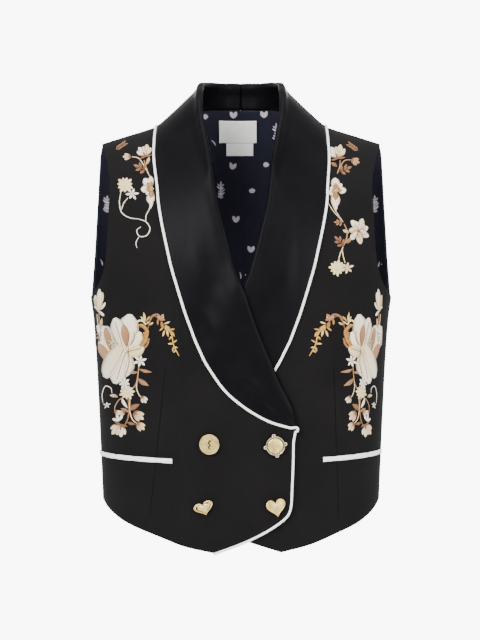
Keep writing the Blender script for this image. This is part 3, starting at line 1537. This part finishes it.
# Rows of the needlework's tables. Places and lengths are pixels of the photo's frame,
# and turns are degrees from +x towards up.
Petal = namedtuple("Petal", "x y turn length width foot tip layer belly blunt bend high",
                   defaults=(0, 1.2, 0.6, 0.0, 0.0007))
Broad = namedtuple("Broad", "x y turn length width foot tip layer bend")
Lobe = namedtuple("Lobe", "x y turn length width foot tip layer bend")
Stem = namedtuple("Stem", "xs ys width thread layer", defaults=(0,))
Leaf = namedtuple("Leaf", "x y turn length width foot tip bend", defaults=(BRONZE, TAN, 0.1))
LobedLeaf = namedtuple("LobedLeaf", "x y turn length foot tip", defaults=(BRONZE, TAN))
Daisy = namedtuple("Daisy", "x y size turn petals foot tip", defaults=(STRAW, CREAM))
Star = namedtuple("Star", "x y size turn petals thread layer", defaults=(6, PEARL, 0))
Blossom = namedtuple("Blossom", "x y turns lengths widths")
Bud = namedtuple("Bud", "x y size turn tip")
Rosebud = namedtuple("Rosebud", "x y size turn")
Rose = namedtuple("Rose", "x y size turn stretch")
Wing = namedtuple("Wing", "x y turn")

# Petals of a bud or a leaf about its foot or its rib: part of the length at which each
# starts, swing in degrees, and parts of the size
Blade = namedtuple("Blade", "start swing reach wide")
BUD_BLADES = (Blade(0, -24, 0.86, 0.42), Blade(0, 24, 0.86, 0.42), Blade(0, 0, 1.0, 0.46))
ROSEBUD_BLADES = (
    Blade(0, -44, 0.80, 0.36),
    Blade(0, 44, 0.80, 0.36),
    Blade(0, -20, 0.96, 0.42),
    Blade(0, 22, 0.92, 0.42),
    Blade(0, 0, 0.82, 0.46),
    Blade(0, 4, 0.60, 0.34),
)
LEAF_BLADES = (
    Blade(0.15, 58, 0.44, 0.24),
    Blade(0.15, -58, 0.44, 0.24),
    Blade(0.42, 44, 0.46, 0.24),
    Blade(0.42, -44, 0.46, 0.24),
    Blade(0.55, 0, 0.50, 0.24),
)
RoseRing = namedtuple("RoseRing", "petals reach wide layer")
ROSE_RINGS = (RoseRing(7, 0.50, 0.36, 0), RoseRing(6, 0.37, 0.30, 3), RoseRing(5, 0.24, 0.20, 6))


def ahead(x, y, turn, length, bend=0.0):
    """The place at a length from (x, y), bent off its turn."""
    a = math.radians(turn)
    return (x + length * math.cos(a) - bend * math.sin(a), y - length * math.sin(a) - bend * math.cos(a))


class Needlework:
    """Collects stitched forms placed in the photo's frame and lays them on the cloth."""

    def __init__(self, mirrored=False, face=-1):
        self.mirrored = mirrored
        self.face = face
        self.places = []
        self.heights = []
        self.colours = []
        self.lies = []
        self.faces = []
        self.count = 0

    def patch(self, px, py, height, foot, tip, shade, lie):
        """One padded form: a grid of places, heights, blends of two colours, and its lie."""
        rows, columns = px.shape
        if self.mirrored:
            px = np.interp(px, SPRAY_COLUMNS, LEFT_COLUMNS)
        colour = np.array(foot) + (np.array(tip) - np.array(foot)) * np.clip(shade, 0, 1)[..., None]
        across = np.linspace(-1, 1, columns)[None, :, None]
        colour = colour * (1 - EDGE_SHADE * np.abs(across) ** 5)
        start = 2 * self.count
        faces = wall_faces(rows, columns, not self.mirrored)[0]
        self.faces += [tuple(start + k for k in face) for face in faces]
        for layer in (height, np.full(height.shape, TUCKED_IN)):
            self.places.append(np.stack((px.ravel(), py.ravel()), axis=-1))
            self.heights.append(layer.ravel())
            self.colours.append(colour.reshape(-1, 3))
            self.lies.append(lie.ravel())
        self.count += rows * columns

    def petal(self, x, y, turn, length, width, foot, tip, layer=0, belly=1.2, blunt=0.6, bend=0.0,
              high=0.0007):
        """A padded petal or leaf from its foot."""
        t, s = np.meshgrid(np.linspace(0, 1, PETAL_ROWS), np.linspace(-1, 1, PETAL_COLUMNS), indexing="ij")
        ripple = 1 + 0.05 * np.sin(9 * t + 1.7 * (x + y))
        half = width / 2 * np.sin(math.pi * np.clip(t, 0.012, 0.988) ** belly) ** blunt * ripple
        a = math.radians(turn)
        along = t * length
        side = s * half + bend * length * t * t
        px = x + along * math.cos(a) - side * math.sin(a)
        py = y - along * math.sin(a) - side * math.cos(a)
        dome = np.sqrt(np.clip(1 - s ** 2, 0, 1)) * np.sin(math.pi * np.clip(t, 0.03, 0.97)) ** 0.4
        shade = t ** 1.2 + 0.12 * np.sin(5 * s + x)
        height = PETAL_LIFT + LAYER_STEP * layer + high * dome
        self.patch(px, py, height, foot, tip, shade, s * half * PIXEL * 2.2)

    def broad(self, x, y, turn, length, width, foot, tip, layer, bend):
        """A full petal of the large rose."""
        self.petal(x, y, turn, length, width, foot, tip, layer, 1.4, 0.5, bend, 0.0009)

    def lobe(self, x, y, turn, length, width, foot, tip, layer, bend):
        """A curled lobe of the scroll."""
        self.petal(x, y, turn, length, width, foot, tip, layer, 1.0, 0.75, bend)

    def stem(self, xs, ys, width, thread, layer=0):
        """A couched or satin-stitched line through a few places."""
        count = STEM_SPANS * (len(xs) - 1) + 1
        part = np.linspace(0, 1, count)
        line = spline(np.array((xs, ys), float).T, part)
        along = unit(np.gradient(line, axis=0))
        half = width / 2 * (1 - STEM_TAPER * np.abs(2 * part - 1) ** 3)
        s = np.linspace(-1, 1, STEM_COLUMNS)
        every = np.ones((count, 1))
        px = line[:, 0:1] - along[:, 1:2] * half[:, None] * s
        py = line[:, 1:2] + along[:, 0:1] * half[:, None] * s
        height = STEM_LIFT + LAYER_STEP * layer + STEM_HEIGHT * np.sqrt(1 - s ** 2) * every
        lie = line_lengths(line)[:, None] * PIXEL + 0.0004 * s
        shade = 0.5 + 0.5 * np.sin(3.0 * part)[:, None] * np.ones(STEM_COLUMNS)
        self.patch(px, py, height, np.array(thread) * 0.8, thread, shade, lie)

    def knot(self, x, y, size, thread, layer=1):
        """A round French knot or a small filled disc."""
        self.petal(x - size / 2, y, 0, size, size, thread, thread, layer, 1.0, 0.5, 0.0, 0.0008)

    def daisy(self, x, y, size, turn, petals, foot=STRAW, tip=CREAM):
        for i in range(petals):
            reach = size / 2 * (0.92 + 0.1 * math.sin(2.1 * i + x))
            self.petal(x, y, turn + 360 * i / petals, reach, size * 0.21, foot, tip, i % 2, 1.4)
        self.knot(x, y, size * 0.28, STRAW, 3)

    def star_flower(self, x, y, size, turn, petals=6, thread=PEARL, layer=0):
        for i in range(petals):
            reach = size / 2 * (0.9 + 0.14 * math.sin(1.9 * i + y))
            self.petal(x, y, turn + 360 * i / petals, reach, size * 0.19, thread, thread,
                       layer + i % 2, 1.3, 0.8)
        self.knot(x, y, size * 0.16, STRAW, layer + 2)

    def blossom(self, x, y, turns, lengths, widths):
        """An open flower, tan at the heart."""
        for i, (turn, length, width) in enumerate(zip(turns, lengths, widths)):
            self.petal(x, y, turn, length, width, CREAM, PEARL, i % 3, 1.5, 0.5)
            heart = OCHRE if i % 2 else ROSE_TAN
            self.petal(x, y, turn, length * 0.62, width * 0.6, TAN, heart, 4, 1.2, 0.8)
        for i in range(4):
            self.knot(*ahead(x, y, math.degrees(1.5 * i), 1.3), 1.4, STRAW, 7)

    def sepals(self, x, y, turn, swings, length, width, layer):
        for swing in swings:
            self.petal(x, y, turn + swing, length, width, BRONZE, TAN, layer, 1.0, 0.8)

    def bud(self, x, y, size, turn, tip=CREAM):
        """A closed bud from its foot, with a calyx."""
        for k, blade in enumerate(BUD_BLADES):
            self.petal(x, y, turn + blade.swing, size * blade.reach, size * blade.wide, ROSE_TAN, tip,
                       k, 1.25, 0.55)
        self.sepals(x, y, turn, (-52, 0, 52), size * 0.42, size * 0.17, 3)

    def rosebud(self, x, y, size, turn):
        """A half-open rose from its foot: overlapping petals and sepals."""
        for k, blade in enumerate(ROSEBUD_BLADES):
            self.petal(x, y, turn + blade.swing, size * blade.reach, size * blade.wide,
                       ROSE_TAN if k > 3 else CREAM, PEARL if k % 2 else CREAM, k, 1.4, 0.5)
        self.sepals(x, y, turn, (-88, -62, 60, 90, 14), size * 0.50, size * 0.13, 7)

    def leaf(self, x, y, turn, length, width, foot=BRONZE, tip=TAN, bend=0.1):
        self.petal(x, y, turn, length, width, foot, tip, 0, 0.9, 0.9, bend)
        vein = [ahead(x, y, turn, length * t, bend * length * t * t) for t in (0.05, 0.45, 0.85)]
        self.stem(*zip(*vein), width * 0.14, np.array(tip) * 1.25, 3)

    def lobed_leaf(self, x, y, turn, length, foot=BRONZE, tip=TAN):
        """A leaf of five pointed lobes on a midrib."""
        for blade in LEAF_BLADES:
            self.petal(*ahead(x, y, turn, length * blade.start), turn + blade.swing, length * blade.reach,
                       length * blade.wide, foot, tip, 0 if blade.swing else 1, 1.0, 0.8)
        rib = [ahead(x, y, turn, length * part) for part in (0, 0.35, 0.7)]
        self.stem(*zip(*rib), length * 0.07, foot, 3)

    def rose(self, x, y, size, turn, stretch):
        """A full rose: outer, middle and inner petals round a tan heart."""
        for k, ring in enumerate(ROSE_RINGS):
            for i in range(ring.petals):
                a = turn + 360 * i / ring.petals + 25 * k
                far = size * ring.reach * (1 + (stretch - 1) * abs(math.sin(math.radians(a))))
                foot = CREAM if k == 0 and i % 3 else ROSE_TAN
                tip = CREAM if (i + k) % 2 else PEARL
                self.petal(x, y, a, far, size * ring.wide, foot, tip, ring.layer + i % 2, 1.6, 0.45, 0.10)
        for i in range(6):
            self.knot(*ahead(x, y, -60 * i, size * 0.05), size * 0.06, TAN, 9)

    def wing(self, x, y, turn):
        """A small feathered leaf in bronze."""
        for k in range(5):
            for swing in (-28, 32):
                self.petal(*ahead(x, y, turn, (k - 2) * 2.3), turn + swing, 4.6, 1.4, BRONZE,
                           OCHRE if k % 2 else TAN, k % 2, 1.0, 0.8)

    def sew(self, name, place_on, material, slot):
        """Makes one piece of all forms; place_on gives points at (x, z, height)."""
        places = np.concatenate(self.places)
        heights = np.concatenate(self.heights)
        x, z = seen(places[:, 0], places[:, 1], self.face)
        aimed = 2 * places - shown_at(place_on(x, z, heights))
        x, z = seen(aimed[:, 0], aimed[:, 1], self.face)
        points = place_on(x, z, heights)
        piece = new_piece(name, points, self.faces, (material,))
        colour = piece.data.attributes.new("thread_colour", "FLOAT_COLOR", "POINT")
        tones = np.concatenate(self.colours)
        colour.data.foreach_set("color", np.concatenate((tones, np.ones((len(tones), 1))), axis=1).ravel())
        lie = piece.data.attributes.new("thread_lie", "FLOAT", "POINT")
        lie.data.foreach_set("value", np.concatenate(self.lies))
        return piece


STITCHED_BY = {
    Petal: Needlework.petal,
    Broad: Needlework.broad,
    Lobe: Needlework.lobe,
    Stem: Needlework.stem,
    Leaf: Needlework.leaf,
    LobedLeaf: Needlework.lobed_leaf,
    Daisy: Needlework.daisy,
    Star: Needlework.star_flower,
    Blossom: Needlework.blossom,
    Bud: Needlework.bud,
    Rosebud: Needlework.rosebud,
    Rose: Needlework.rose,
    Wing: Needlework.wing,
}


def lay(work, *tables):
    """Stitches every row of some tables by the method for its kind."""
    for table in tables:
        for row in table:
            STITCHED_BY[type(row)](work, *row)


# The large rose at the side and the creases between its petals
SIDE_ROSE = (
    Broad(118, 362, 118, 42, 24, CREAM, PEARL, 0, 0.02),
    Broad(125, 353, 60, 26, 18, CREAM, PEARL, 0, -0.10),
    Broad(111, 352, 103, 25, 8, TAN, ROSE_TAN, 2, 0.0),
    Broad(113, 368, 120, 28, 9, OCHRE, ROSE_TAN, 3, 0.0),
    Broad(125, 353, 85, 39, 22, CREAM, PEARL, 2, -0.04),
    Broad(126.5, 348, 97, 24, 9.5, TAN, ROSE_TAN, 6, 0.04),
    Broad(127, 354, 111, 38, 16, CREAM, PEARL, 5, -0.04),
    Broad(124, 354, 10, 21, 13, STRAW, CREAM, 2, 0.10),
    Broad(126.5, 348, 267, 30, 19, CREAM, PEARL, 3, -0.06),
    Broad(125.5, 344, 255, 41, 19, CREAM, PEARL, 5, 0.0),
    Broad(123.5, 341, 242, 41, 19, CREAM, PEARL, 7, 0.02),
    Stem((124, 117, 110), (349, 363, 374), 0.7, TAN, 9),
    Stem((126, 121, 117), (352, 366, 379), 0.7, TAN, 9),
    Stem((128, 129, 126), (350, 363, 374), 0.7, TAN, 9),
    Stem((126, 134, 141), (352, 350, 348), 0.7, TAN, 9),
    Stem((123, 119, 115), (347, 334, 322), 0.7, TAN, 9),
    Stem((130, 134, 134), (345, 338, 332), 0.7, TAN, 9),
)
STAMENS = 16
SIDE_BUD = (
    Broad(98, 312, 99, 17, 5.0, ROSE_TAN, CREAM, 0, 0.0),
    Broad(98.5, 312, 78, 20, 5.0, CREAM, STRAW, 1, 0.0),
    Broad(98.5, 312, 87, 23, 5.0, STRAW, PEARL, 2, 0.0),
    Broad(100, 310, 42, 9, 3.0, PEARL, PEARL, 3, 0.2),
    Broad(99, 311, 316, 7, 3.2, PEARL, PEARL, 3, 0.0),
    Broad(99, 310, 140, 6, 2.4, CREAM, PEARL, 3, 0.0),
    Stem((99, 99.5, 101, 102), (312, 321, 331, 340), 1.8, TAN),
    Stem((97, 98, 99.5), (314, 324, 332), 0.9, CREAM),
    Leaf(100, 329, 74, 11, 3.4, TAN, CREAM),
    LobedLeaf(101, 331, 262, 11),
)
# Leafy scroll from the rose towards the middle, in golds and bronze
SCROLL = (
    Stem((138, 143, 146, 144), (349, 344, 338, 332), 4.2, OCHRE, 2),
    Stem((141, 147, 149), (350, 345, 338), 2.4, TAN, 1),
    Stem((140, 143, 142), (344, 338, 334), 1.6, GILT, 4),
    Stem((147, 147, 144, 140), (337, 331, 327, 325.5), 3.8, OCHRE, 3),
    Stem((146, 142, 137, 136), (325, 320.5, 322, 327), 2.2, STRAW, 2),
    Stem((146, 142, 138, 138), (329, 324.5, 326, 329), 1.2, GILT, 5),
    Stem((148, 150, 154, 158), (329, 321, 316, 318), 1.8, BRONZE, 1),
    Stem((149, 152, 157, 162), (324, 316.5, 314.5, 319), 2.4, TAN, 2),
    Stem((168, 172, 173, 179), (329, 336, 343, 356), 1.3, GILT, 3),
    Lobe(145, 322, 92, 10, 2.6, STRAW, GILT, 1, 0.1),
    Lobe(145, 322, 122, 7, 2.2, GILT, STRAW, 2, 0.1),
    Lobe(146, 322, 62, 7, 2.2, OCHRE, GILT, 3, -0.1),
    Lobe(146, 324, 30, 6, 2.0, STRAW, GILT, 1, 0.1),
    Lobe(149, 325, 20, 5, 2.0, GILT, STRAW, 2, 0.2),
    Lobe(157, 316, 320, 9, 5.0, ROSE_TAN, TAN, 3, 0.2),
    Lobe(160, 317, 30, 5, 2.0, ROSE_TAN, ROSE_TAN, 1, 0.1),
    Lobe(162, 320, 62, 5, 1.8, CREAM, ROSE_TAN, 2, 0.1),
    Lobe(158, 319, 262, 6, 2.4, TAN, OCHRE, 3, 0.1),
    Lobe(161, 321, 290, 8, 3.4, TAN, OCHRE, 1, -0.1),
    Lobe(164, 324, 16, 6, 2.2, GILT, STRAW, 2, 0.1),
    Lobe(165, 325, 300, 9, 5.4, GILT, OCHRE, 3, 0.1),
    Lobe(164, 327, 215, 6, 2.2, OCHRE, GILT, 1, 0.1),
    Lobe(165, 330, 245, 7, 2.2, GILT, STRAW, 2, 0.1),
    Lobe(167, 330, 275, 7, 2.4, STRAW, GILT, 3, 0.1),
    Lobe(169, 330, 5, 6, 2.2, GILT, OCHRE, 1, 0.1),
    Lobe(170, 331, 320, 7, 3.2, OCHRE, GILT, 2, -0.2),
    Lobe(172, 336, 230, 5, 2.2, GILT, OCHRE, 3, 0.0),
    Lobe(172, 343, 20, 6, 2.0, OCHRE, GILT, 1, 0.2),
    Lobe(173, 344, 165, 5, 2.2, GILT, STRAW, 2, 0.2),
    Lobe(174, 346, 255, 6, 2.4, OCHRE, GILT, 3, 0.0),
    Lobe(174, 347, 350, 4, 1.6, STRAW, GILT, 1, 0.0),
    Lobe(176, 350, 225, 4, 1.4, CREAM, GILT, 2, 0.0),
)
# Daisies, leaves and buds that trail below the large rose
TRAILING_SPRAY = (
    Stem((139, 138, 136, 130, 127), (362, 374, 384, 392, 400), 1.4, ROSE_TAN),
    Stem((137, 137, 140, 143), (380, 390, 396, 399), 1.2, CREAM),
    Stem((128, 129, 128, 124), (396, 408, 418, 427), 1.6, TAN),
    Stem((130, 130, 133, 138), (398, 412, 420, 424), 1.2, CREAM),
    Stem((126, 119, 115, 115), (396, 400, 407, 413), 1.1, ROSE_TAN),
    Leaf(138, 372, 190, 11, 3.4, TAN, ROSE_TAN, -0.2),
    Leaf(139, 369, 335, 13, 3.4, TAN, ROSE_TAN, 0.2),
    Leaf(137, 378, 318, 14, 5.0, BRONZE, ROSE_TAN, 0.15),
    Leaf(129, 410, 35, 12, 6.0, BRONZE, TAN, -0.1),
    Leaf(129, 412, 150, 9, 4.0, BRONZE, ROSE_TAN, 0.1),
    Leaf(127, 422, 335, 9, 3.4, BRONZE, TAN, 0.2),
    Petal(122, 398, 285, 11, 3.4, PEARL, PEARL, 0, 1.0, 0.7, 0.25),
    Petal(118, 397, 155, 8, 3.6, TAN, CREAM, 0, 1.0, 0.7, 0.2),
    Star(140, 361, 15, 18, 6, PEARL, 3),
    Star(124.5, 383, 14, 40, 7, PEARL, 7),
    Daisy(127, 392, 16, 5, 11),
    Bud(142, 396, 8, 300, PEARL),
    Bud(134, 412, 12, 322, CREAM),
    Bud(137, 423, 10, 318, CREAM),
    Bud(115, 411, 6.5, 330, PEARL),
    Bud(125, 412, 7, 200, CREAM),
    Rosebud(121, 424, 14, 248),
    Petal(119, 421, 60, 7, 3.2, PEARL, PEARL, 4, 1.3),
    Petal(119, 421, 110, 7, 3.2, PEARL, PEARL, 4, 1.3),
    Petal(119, 421, 160, 7, 3.2, PEARL, PEARL, 4, 1.3),
    Stem((103, 102.5, 106, 111, 112), (403, 393, 386, 388, 393), 1.0, PEARL),
    Star(107, 405, 8, 20, 5),
)
# By the collar on the wearer's right: buds, blossom, daisies and a plain tendril
RIGHT_SHOULDER = (
    Rosebud(146, 157, 13, 105),
    Bud(131, 157, 8, 178, CREAM),
    Stem((132, 138, 143, 147, 150), (157, 158, 164, 171, 177), 1.2, CREAM),
    Stem((144, 146, 149), (160, 167, 174), 1.2, ROSE_TAN),
    LobedLeaf(147, 171, 155, 14),
    Leaf(146, 165, 60, 9, 4.0, TAN, CREAM),
    Blossom(152, 189, (128, 96, 182, 222, 262), (13, 13, 11, 8, 15), (8, 5, 7.5, 5, 8.5)),
    Petal(152, 198, 262, 11, 4.0, CREAM, PEARL, 0, 1.0, 0.8),
    Daisy(125, 185, 17, 8, 11),
    Star(132, 194, 14, 65),
    Stem((121, 119.5, 122, 130, 138), (192, 203, 213, 218, 219), 1.1, PEARL),
    Stem((128, 124, 121.5), (198, 203, 210), 1.0, PEARL),
    Stem((138, 146, 150, 146, 139, 137, 141), (219, 222, 229, 236, 236, 230, 227), 1.1, PEARL),
    Stem((151, 149, 146, 146), (203, 210, 216, 222), 1.0, PEARL),
    Stem((139, 136, 137), (237, 243, 248), 0.9, PEARL),
    Wing(120, 147, 35),
)
# By the collar on the wearer's left: rosebud, blossom, rose and daisies
LEFT_SHOULDER = (
    Rosebud(338, 159, 15, 100),
    Bud(351, 160, 9, 340, ROSE_TAN),
    Stem((351, 345, 340, 337), (160, 160.5, 167, 174), 1.3, ROSE_TAN),
    Stem((340, 339.5, 337), (160, 167, 173), 1.2, ROSE_TAN),
    LobedLeaf(339, 172, 22, 13),
    Leaf(337, 167, 140, 8, 4.0),
    Blossom(336, 191, (96, 52, 4, 152, 196, 266), (13, 9, 10, 7, 8, 16), (9, 6, 7, 6, 7.5, 9.5)),
    Petal(336, 200, 268, 11, 4.0, CREAM, PEARL, 0, 1.0, 0.8),
    Stem((331, 333, 338, 343), (196, 206, 215, 222), 1.0, CREAM),
    Stem((328, 333, 340), (203, 211, 219), 0.9, CREAM),
    LobedLeaf(343, 223, 175, 9, TAN, ROSE_TAN),
    Stem((344, 347, 346, 342), (224, 232, 240, 248), 1.5, ROSE_TAN),
    LobedLeaf(344, 246, 135, 13),
    Leaf(345, 243, 30, 8, 4.5, BRONZE, ROSE_TAN),
    Rose(358.5, 231, 17.5, 15, 1.5),
    Leaf(349, 233, 150, 7, 4.0, TAN, CREAM),
    Stem((343, 340, 338), (247, 254, 262), 1.2, CREAM),
    Stem((342, 343, 345), (248, 256, 263), 1.1, CREAM),
    Daisy(337, 268, 17, 12, 11, STRAW, STRAW),
    Star(347, 268, 14, 80, 6, CREAM),
    Wing(354, 148, 145),
)
STAMEN_MIDDLE = (112, 343)


def side_spray(work):
    """The large rose at the side with its bud, scroll and trailing spray."""
    lay(work, SIDE_ROSE)
    for i in range(STAMENS):
        reach = 1.0 + 0.22 * i
        x = STAMEN_MIDDLE[0] + 0.75 * reach * math.cos(0.7 * i)
        y = STAMEN_MIDDLE[1] + 1.5 * reach * math.sin(0.7 * i)
        work.knot(x, y, 1.3, CREAM if i % 3 else TAN, 8)
    lay(work, SIDE_BUD, SCROLL, TRAILING_SPRAY)


def sew_front(work, side, name):
    return work.sew(name, lambda x, z, h: on_front(x, z, side, CLOTH_WALL + h), SILK, "ivory_cord")


def make_embroidery():
    right = Needlework()
    side_spray(right)
    lay(right, RIGHT_SHOULDER)
    left = Needlework(mirrored=True)
    side_spray(left)
    left.mirrored = False
    lay(left, LEFT_SHOULDER)
    return {-1: sew_front(right, -1, "embroidery_right"), 1: sew_front(left, 1, "embroidery_left")}


# Woven motifs of the lining, as seen in the neck and the armholes
Motif = namedtuple("Motif", "kind x y turn")
LINING_MOTIFS = (
    Motif("dot", 205, 117, 0),
    Motif("heart", 233.5, 115, 0),
    Motif("heart", 264, 114.5, 0),
    Motif("crescent", 217, 143, 40),
    Motif("sprig", 277, 134, 10),
    Motif("heart", 232, 166, -12),
    Motif("dot", 266, 165, 0),
    Motif("sprig", 221, 192, 0),
    Motif("dot", 252, 191, 0),
    Motif("heart", 236, 219, 0),
    Motif("heart", 251, 249, 0),
    Motif("crescent", 242, 276, 10),
    Motif("sprig", 107, 206, -8),
    Motif("sprig", 375, 206, 8),
    Motif("crescent", 104, 263, 20),
    Motif("crescent", 378, 265, -20),
)
SCATTER_LOW = (112, 160)
SCATTER_HIGH = (372, 486)
SCATTER_STEP = (34.0, 27.0)
SCATTER_ROWS = 13
SCATTER_COLUMNS = 8
SCATTER_CLEAR = 24
SCATTER_TURN = 12
SCATTER_KINDS = ("heart", "dot", "sprig", "heart", "crescent")
# The short strokes of each kind: offset right and down of its middle, turn, length, width
Mark = namedtuple("Mark", "kind right down turn length width bend")
MARKS = (
    Mark("dot", -3.0, 0, 0, 6.2, 5.6, 0),
    Mark("heart", 0, 3.6, 65, 7.2, 4.3, 0),
    Mark("heart", 0, 3.6, 115, 7.2, 4.3, 0),
    Mark("crescent", -1.5, 3, 60, 6.5, 1.7, 0.5),
    Mark("crescent", 2.5, -1, 0, 1.6, 1.2, 0),
)


def woven_motif(work, motif):
    """A small woven figure: a dot, a heart, a crescent with a speck, or a leafy sprig."""
    def mark(right, down, turn, length, width, bend=0.0, layer=0, thread=LILAC):
        work.petal(motif.x + right, motif.y + down, motif.turn + turn, length, width, thread, thread, layer,
                   1.0, 0.6, bend, WOVEN_HEIGHT)

    for row in MARKS:
        if row.kind == motif.kind:
            mark(row.right, row.down, row.turn, row.length, row.width, row.bend)
    if motif.kind == "sprig":
        for k in range(5):
            for turn in (-50, 50, 0):
                reach = 4.4 + 1.2 * math.sin(1.9 * k + 0.03 * turn)
                thread = LILAC if k % 2 else np.array(LILAC) * 0.7
                mark(0, 6.5 - 2.9 * k, 90 + turn, reach, 2.1, 0.0, k % 2, thread)


def scattered_motifs():
    """A staggered repeat over the rest of the lining, clear of the motifs that show."""
    made = []
    for r in range(SCATTER_ROWS):
        for c in range(SCATTER_COLUMNS):
            x = SCATTER_LOW[0] + SCATTER_STEP[0] * (c + 0.5 * (r % 2))
            y = SCATTER_LOW[1] + SCATTER_STEP[1] * r
            near = min(math.hypot(x - motif.x, y - motif.y) for motif in LINING_MOTIFS)
            if x <= SCATTER_HIGH[0] and y <= SCATTER_HIGH[1] and near >= SCATTER_CLEAR:
                turn = SCATTER_TURN * math.sin(3.1 * c + 1.7 * r)
                made.append(Motif(SCATTER_KINDS[(c * 2 + r * 3) % 5], x, y, turn))
    return made


def make_lining_motifs():
    work = Needlework(face=1)
    for motif in (*LINING_MOTIFS, *scattered_motifs()):
        woven_motif(work, motif)

    def on_lining(x, z, height):
        raised = drape(x, z, 1) * centre_fade(x) - SEAM_GAP - LINING_WALL - height
        return surface(x, z, 1) + outward(x, z, 1) * raised[..., None]

    work.sew("lining_motifs", on_lining, WOVEN, "lining")


def main():
    front_trees, front_grids, fronts = make_fronts()
    back_trees, lined_grids = make_backs()
    make_collars(front_trees, back_trees)
    make_front_piping(front_grids[-1])
    welts = make_welts(front_trees)
    make_labels(lined_grids)
    make_coin()
    make_medallion()
    make_framed_heart()
    make_plain_heart()
    stitched = make_embroidery()
    make_lining_motifs()
    for side, front in fronts.items():
        declare_cloth(front_grids[side])


def make_camera():
    data = bpy.data.cameras.new("camera")
    data.lens = CAMERA_LENS
    data.sensor_fit = "VERTICAL"
    data.sensor_height = SENSOR_HEIGHT
    camera = bpy.data.objects.new("camera", data)
    camera.location = (CAMERA_X, -CAMERA_DISTANCE, CAMERA_Z)
    camera.rotation_euler = (math.pi / 2, 0, 0)
    bpy.context.scene.collection.objects.link(camera)
    bpy.context.scene.camera = camera


def area_light(panel):
    data = bpy.data.lights.new(panel.name, "AREA")
    data.shape = "RECTANGLE"
    data.size = panel.width
    data.size_y = panel.height
    data.energy = panel.power
    light = bpy.data.objects.new(panel.name, data)
    light.location = panel.where
    light.rotation_euler = (Vector(panel.aim) - Vector(panel.where)).to_track_quat("-Z", "Y").to_euler()
    bpy.context.scene.collection.objects.link(light)


def make_studio():
    world = bpy.data.worlds.new("studio")
    world.use_nodes = True
    world.node_tree.nodes["Background"].inputs[0].default_value = (1.0, 1.0, 1.0, 1.0)
    world.node_tree.nodes["Background"].inputs[1].default_value = 1.0
    bpy.context.scene.world = world
    for panel in LIGHTS:
        area_light(panel)
    square = ((-1, -1), (1, -1), (1, 1), (-1, 1))
    floor = [(x * FLOOR_REACH, y * FLOOR_REACH, FLOOR_Z) for x, y in square]
    backdrop = [(x * BACKDROP_REACH, BACKDROP_Y, BACKDROP_Z + z * BACKDROP_RISE) for x, z in square]
    stage_plane("pale_floor", 0.0, floor)
    stage_plane("lit_backdrop", BACKDROP_GLOW, backdrop)


def stage_plane(name, glow, corners):
    material, _, shader = new_material(name, (0.9, 0.9, 0.9), 0.9)
    shader.inputs["Emission Color"].default_value = (1.0, 1.0, 1.0, 1.0)
    shader.inputs["Emission Strength"].default_value = glow
    mesh = bpy.data.meshes.new(name)
    mesh.from_pydata(corners, [], [(0, 1, 2, 3)])
    mesh.materials.append(material)
    plane = bpy.data.objects.new(name, mesh)
    bpy.context.scene.collection.objects.link(plane)


make_camera()
make_studio()
main()
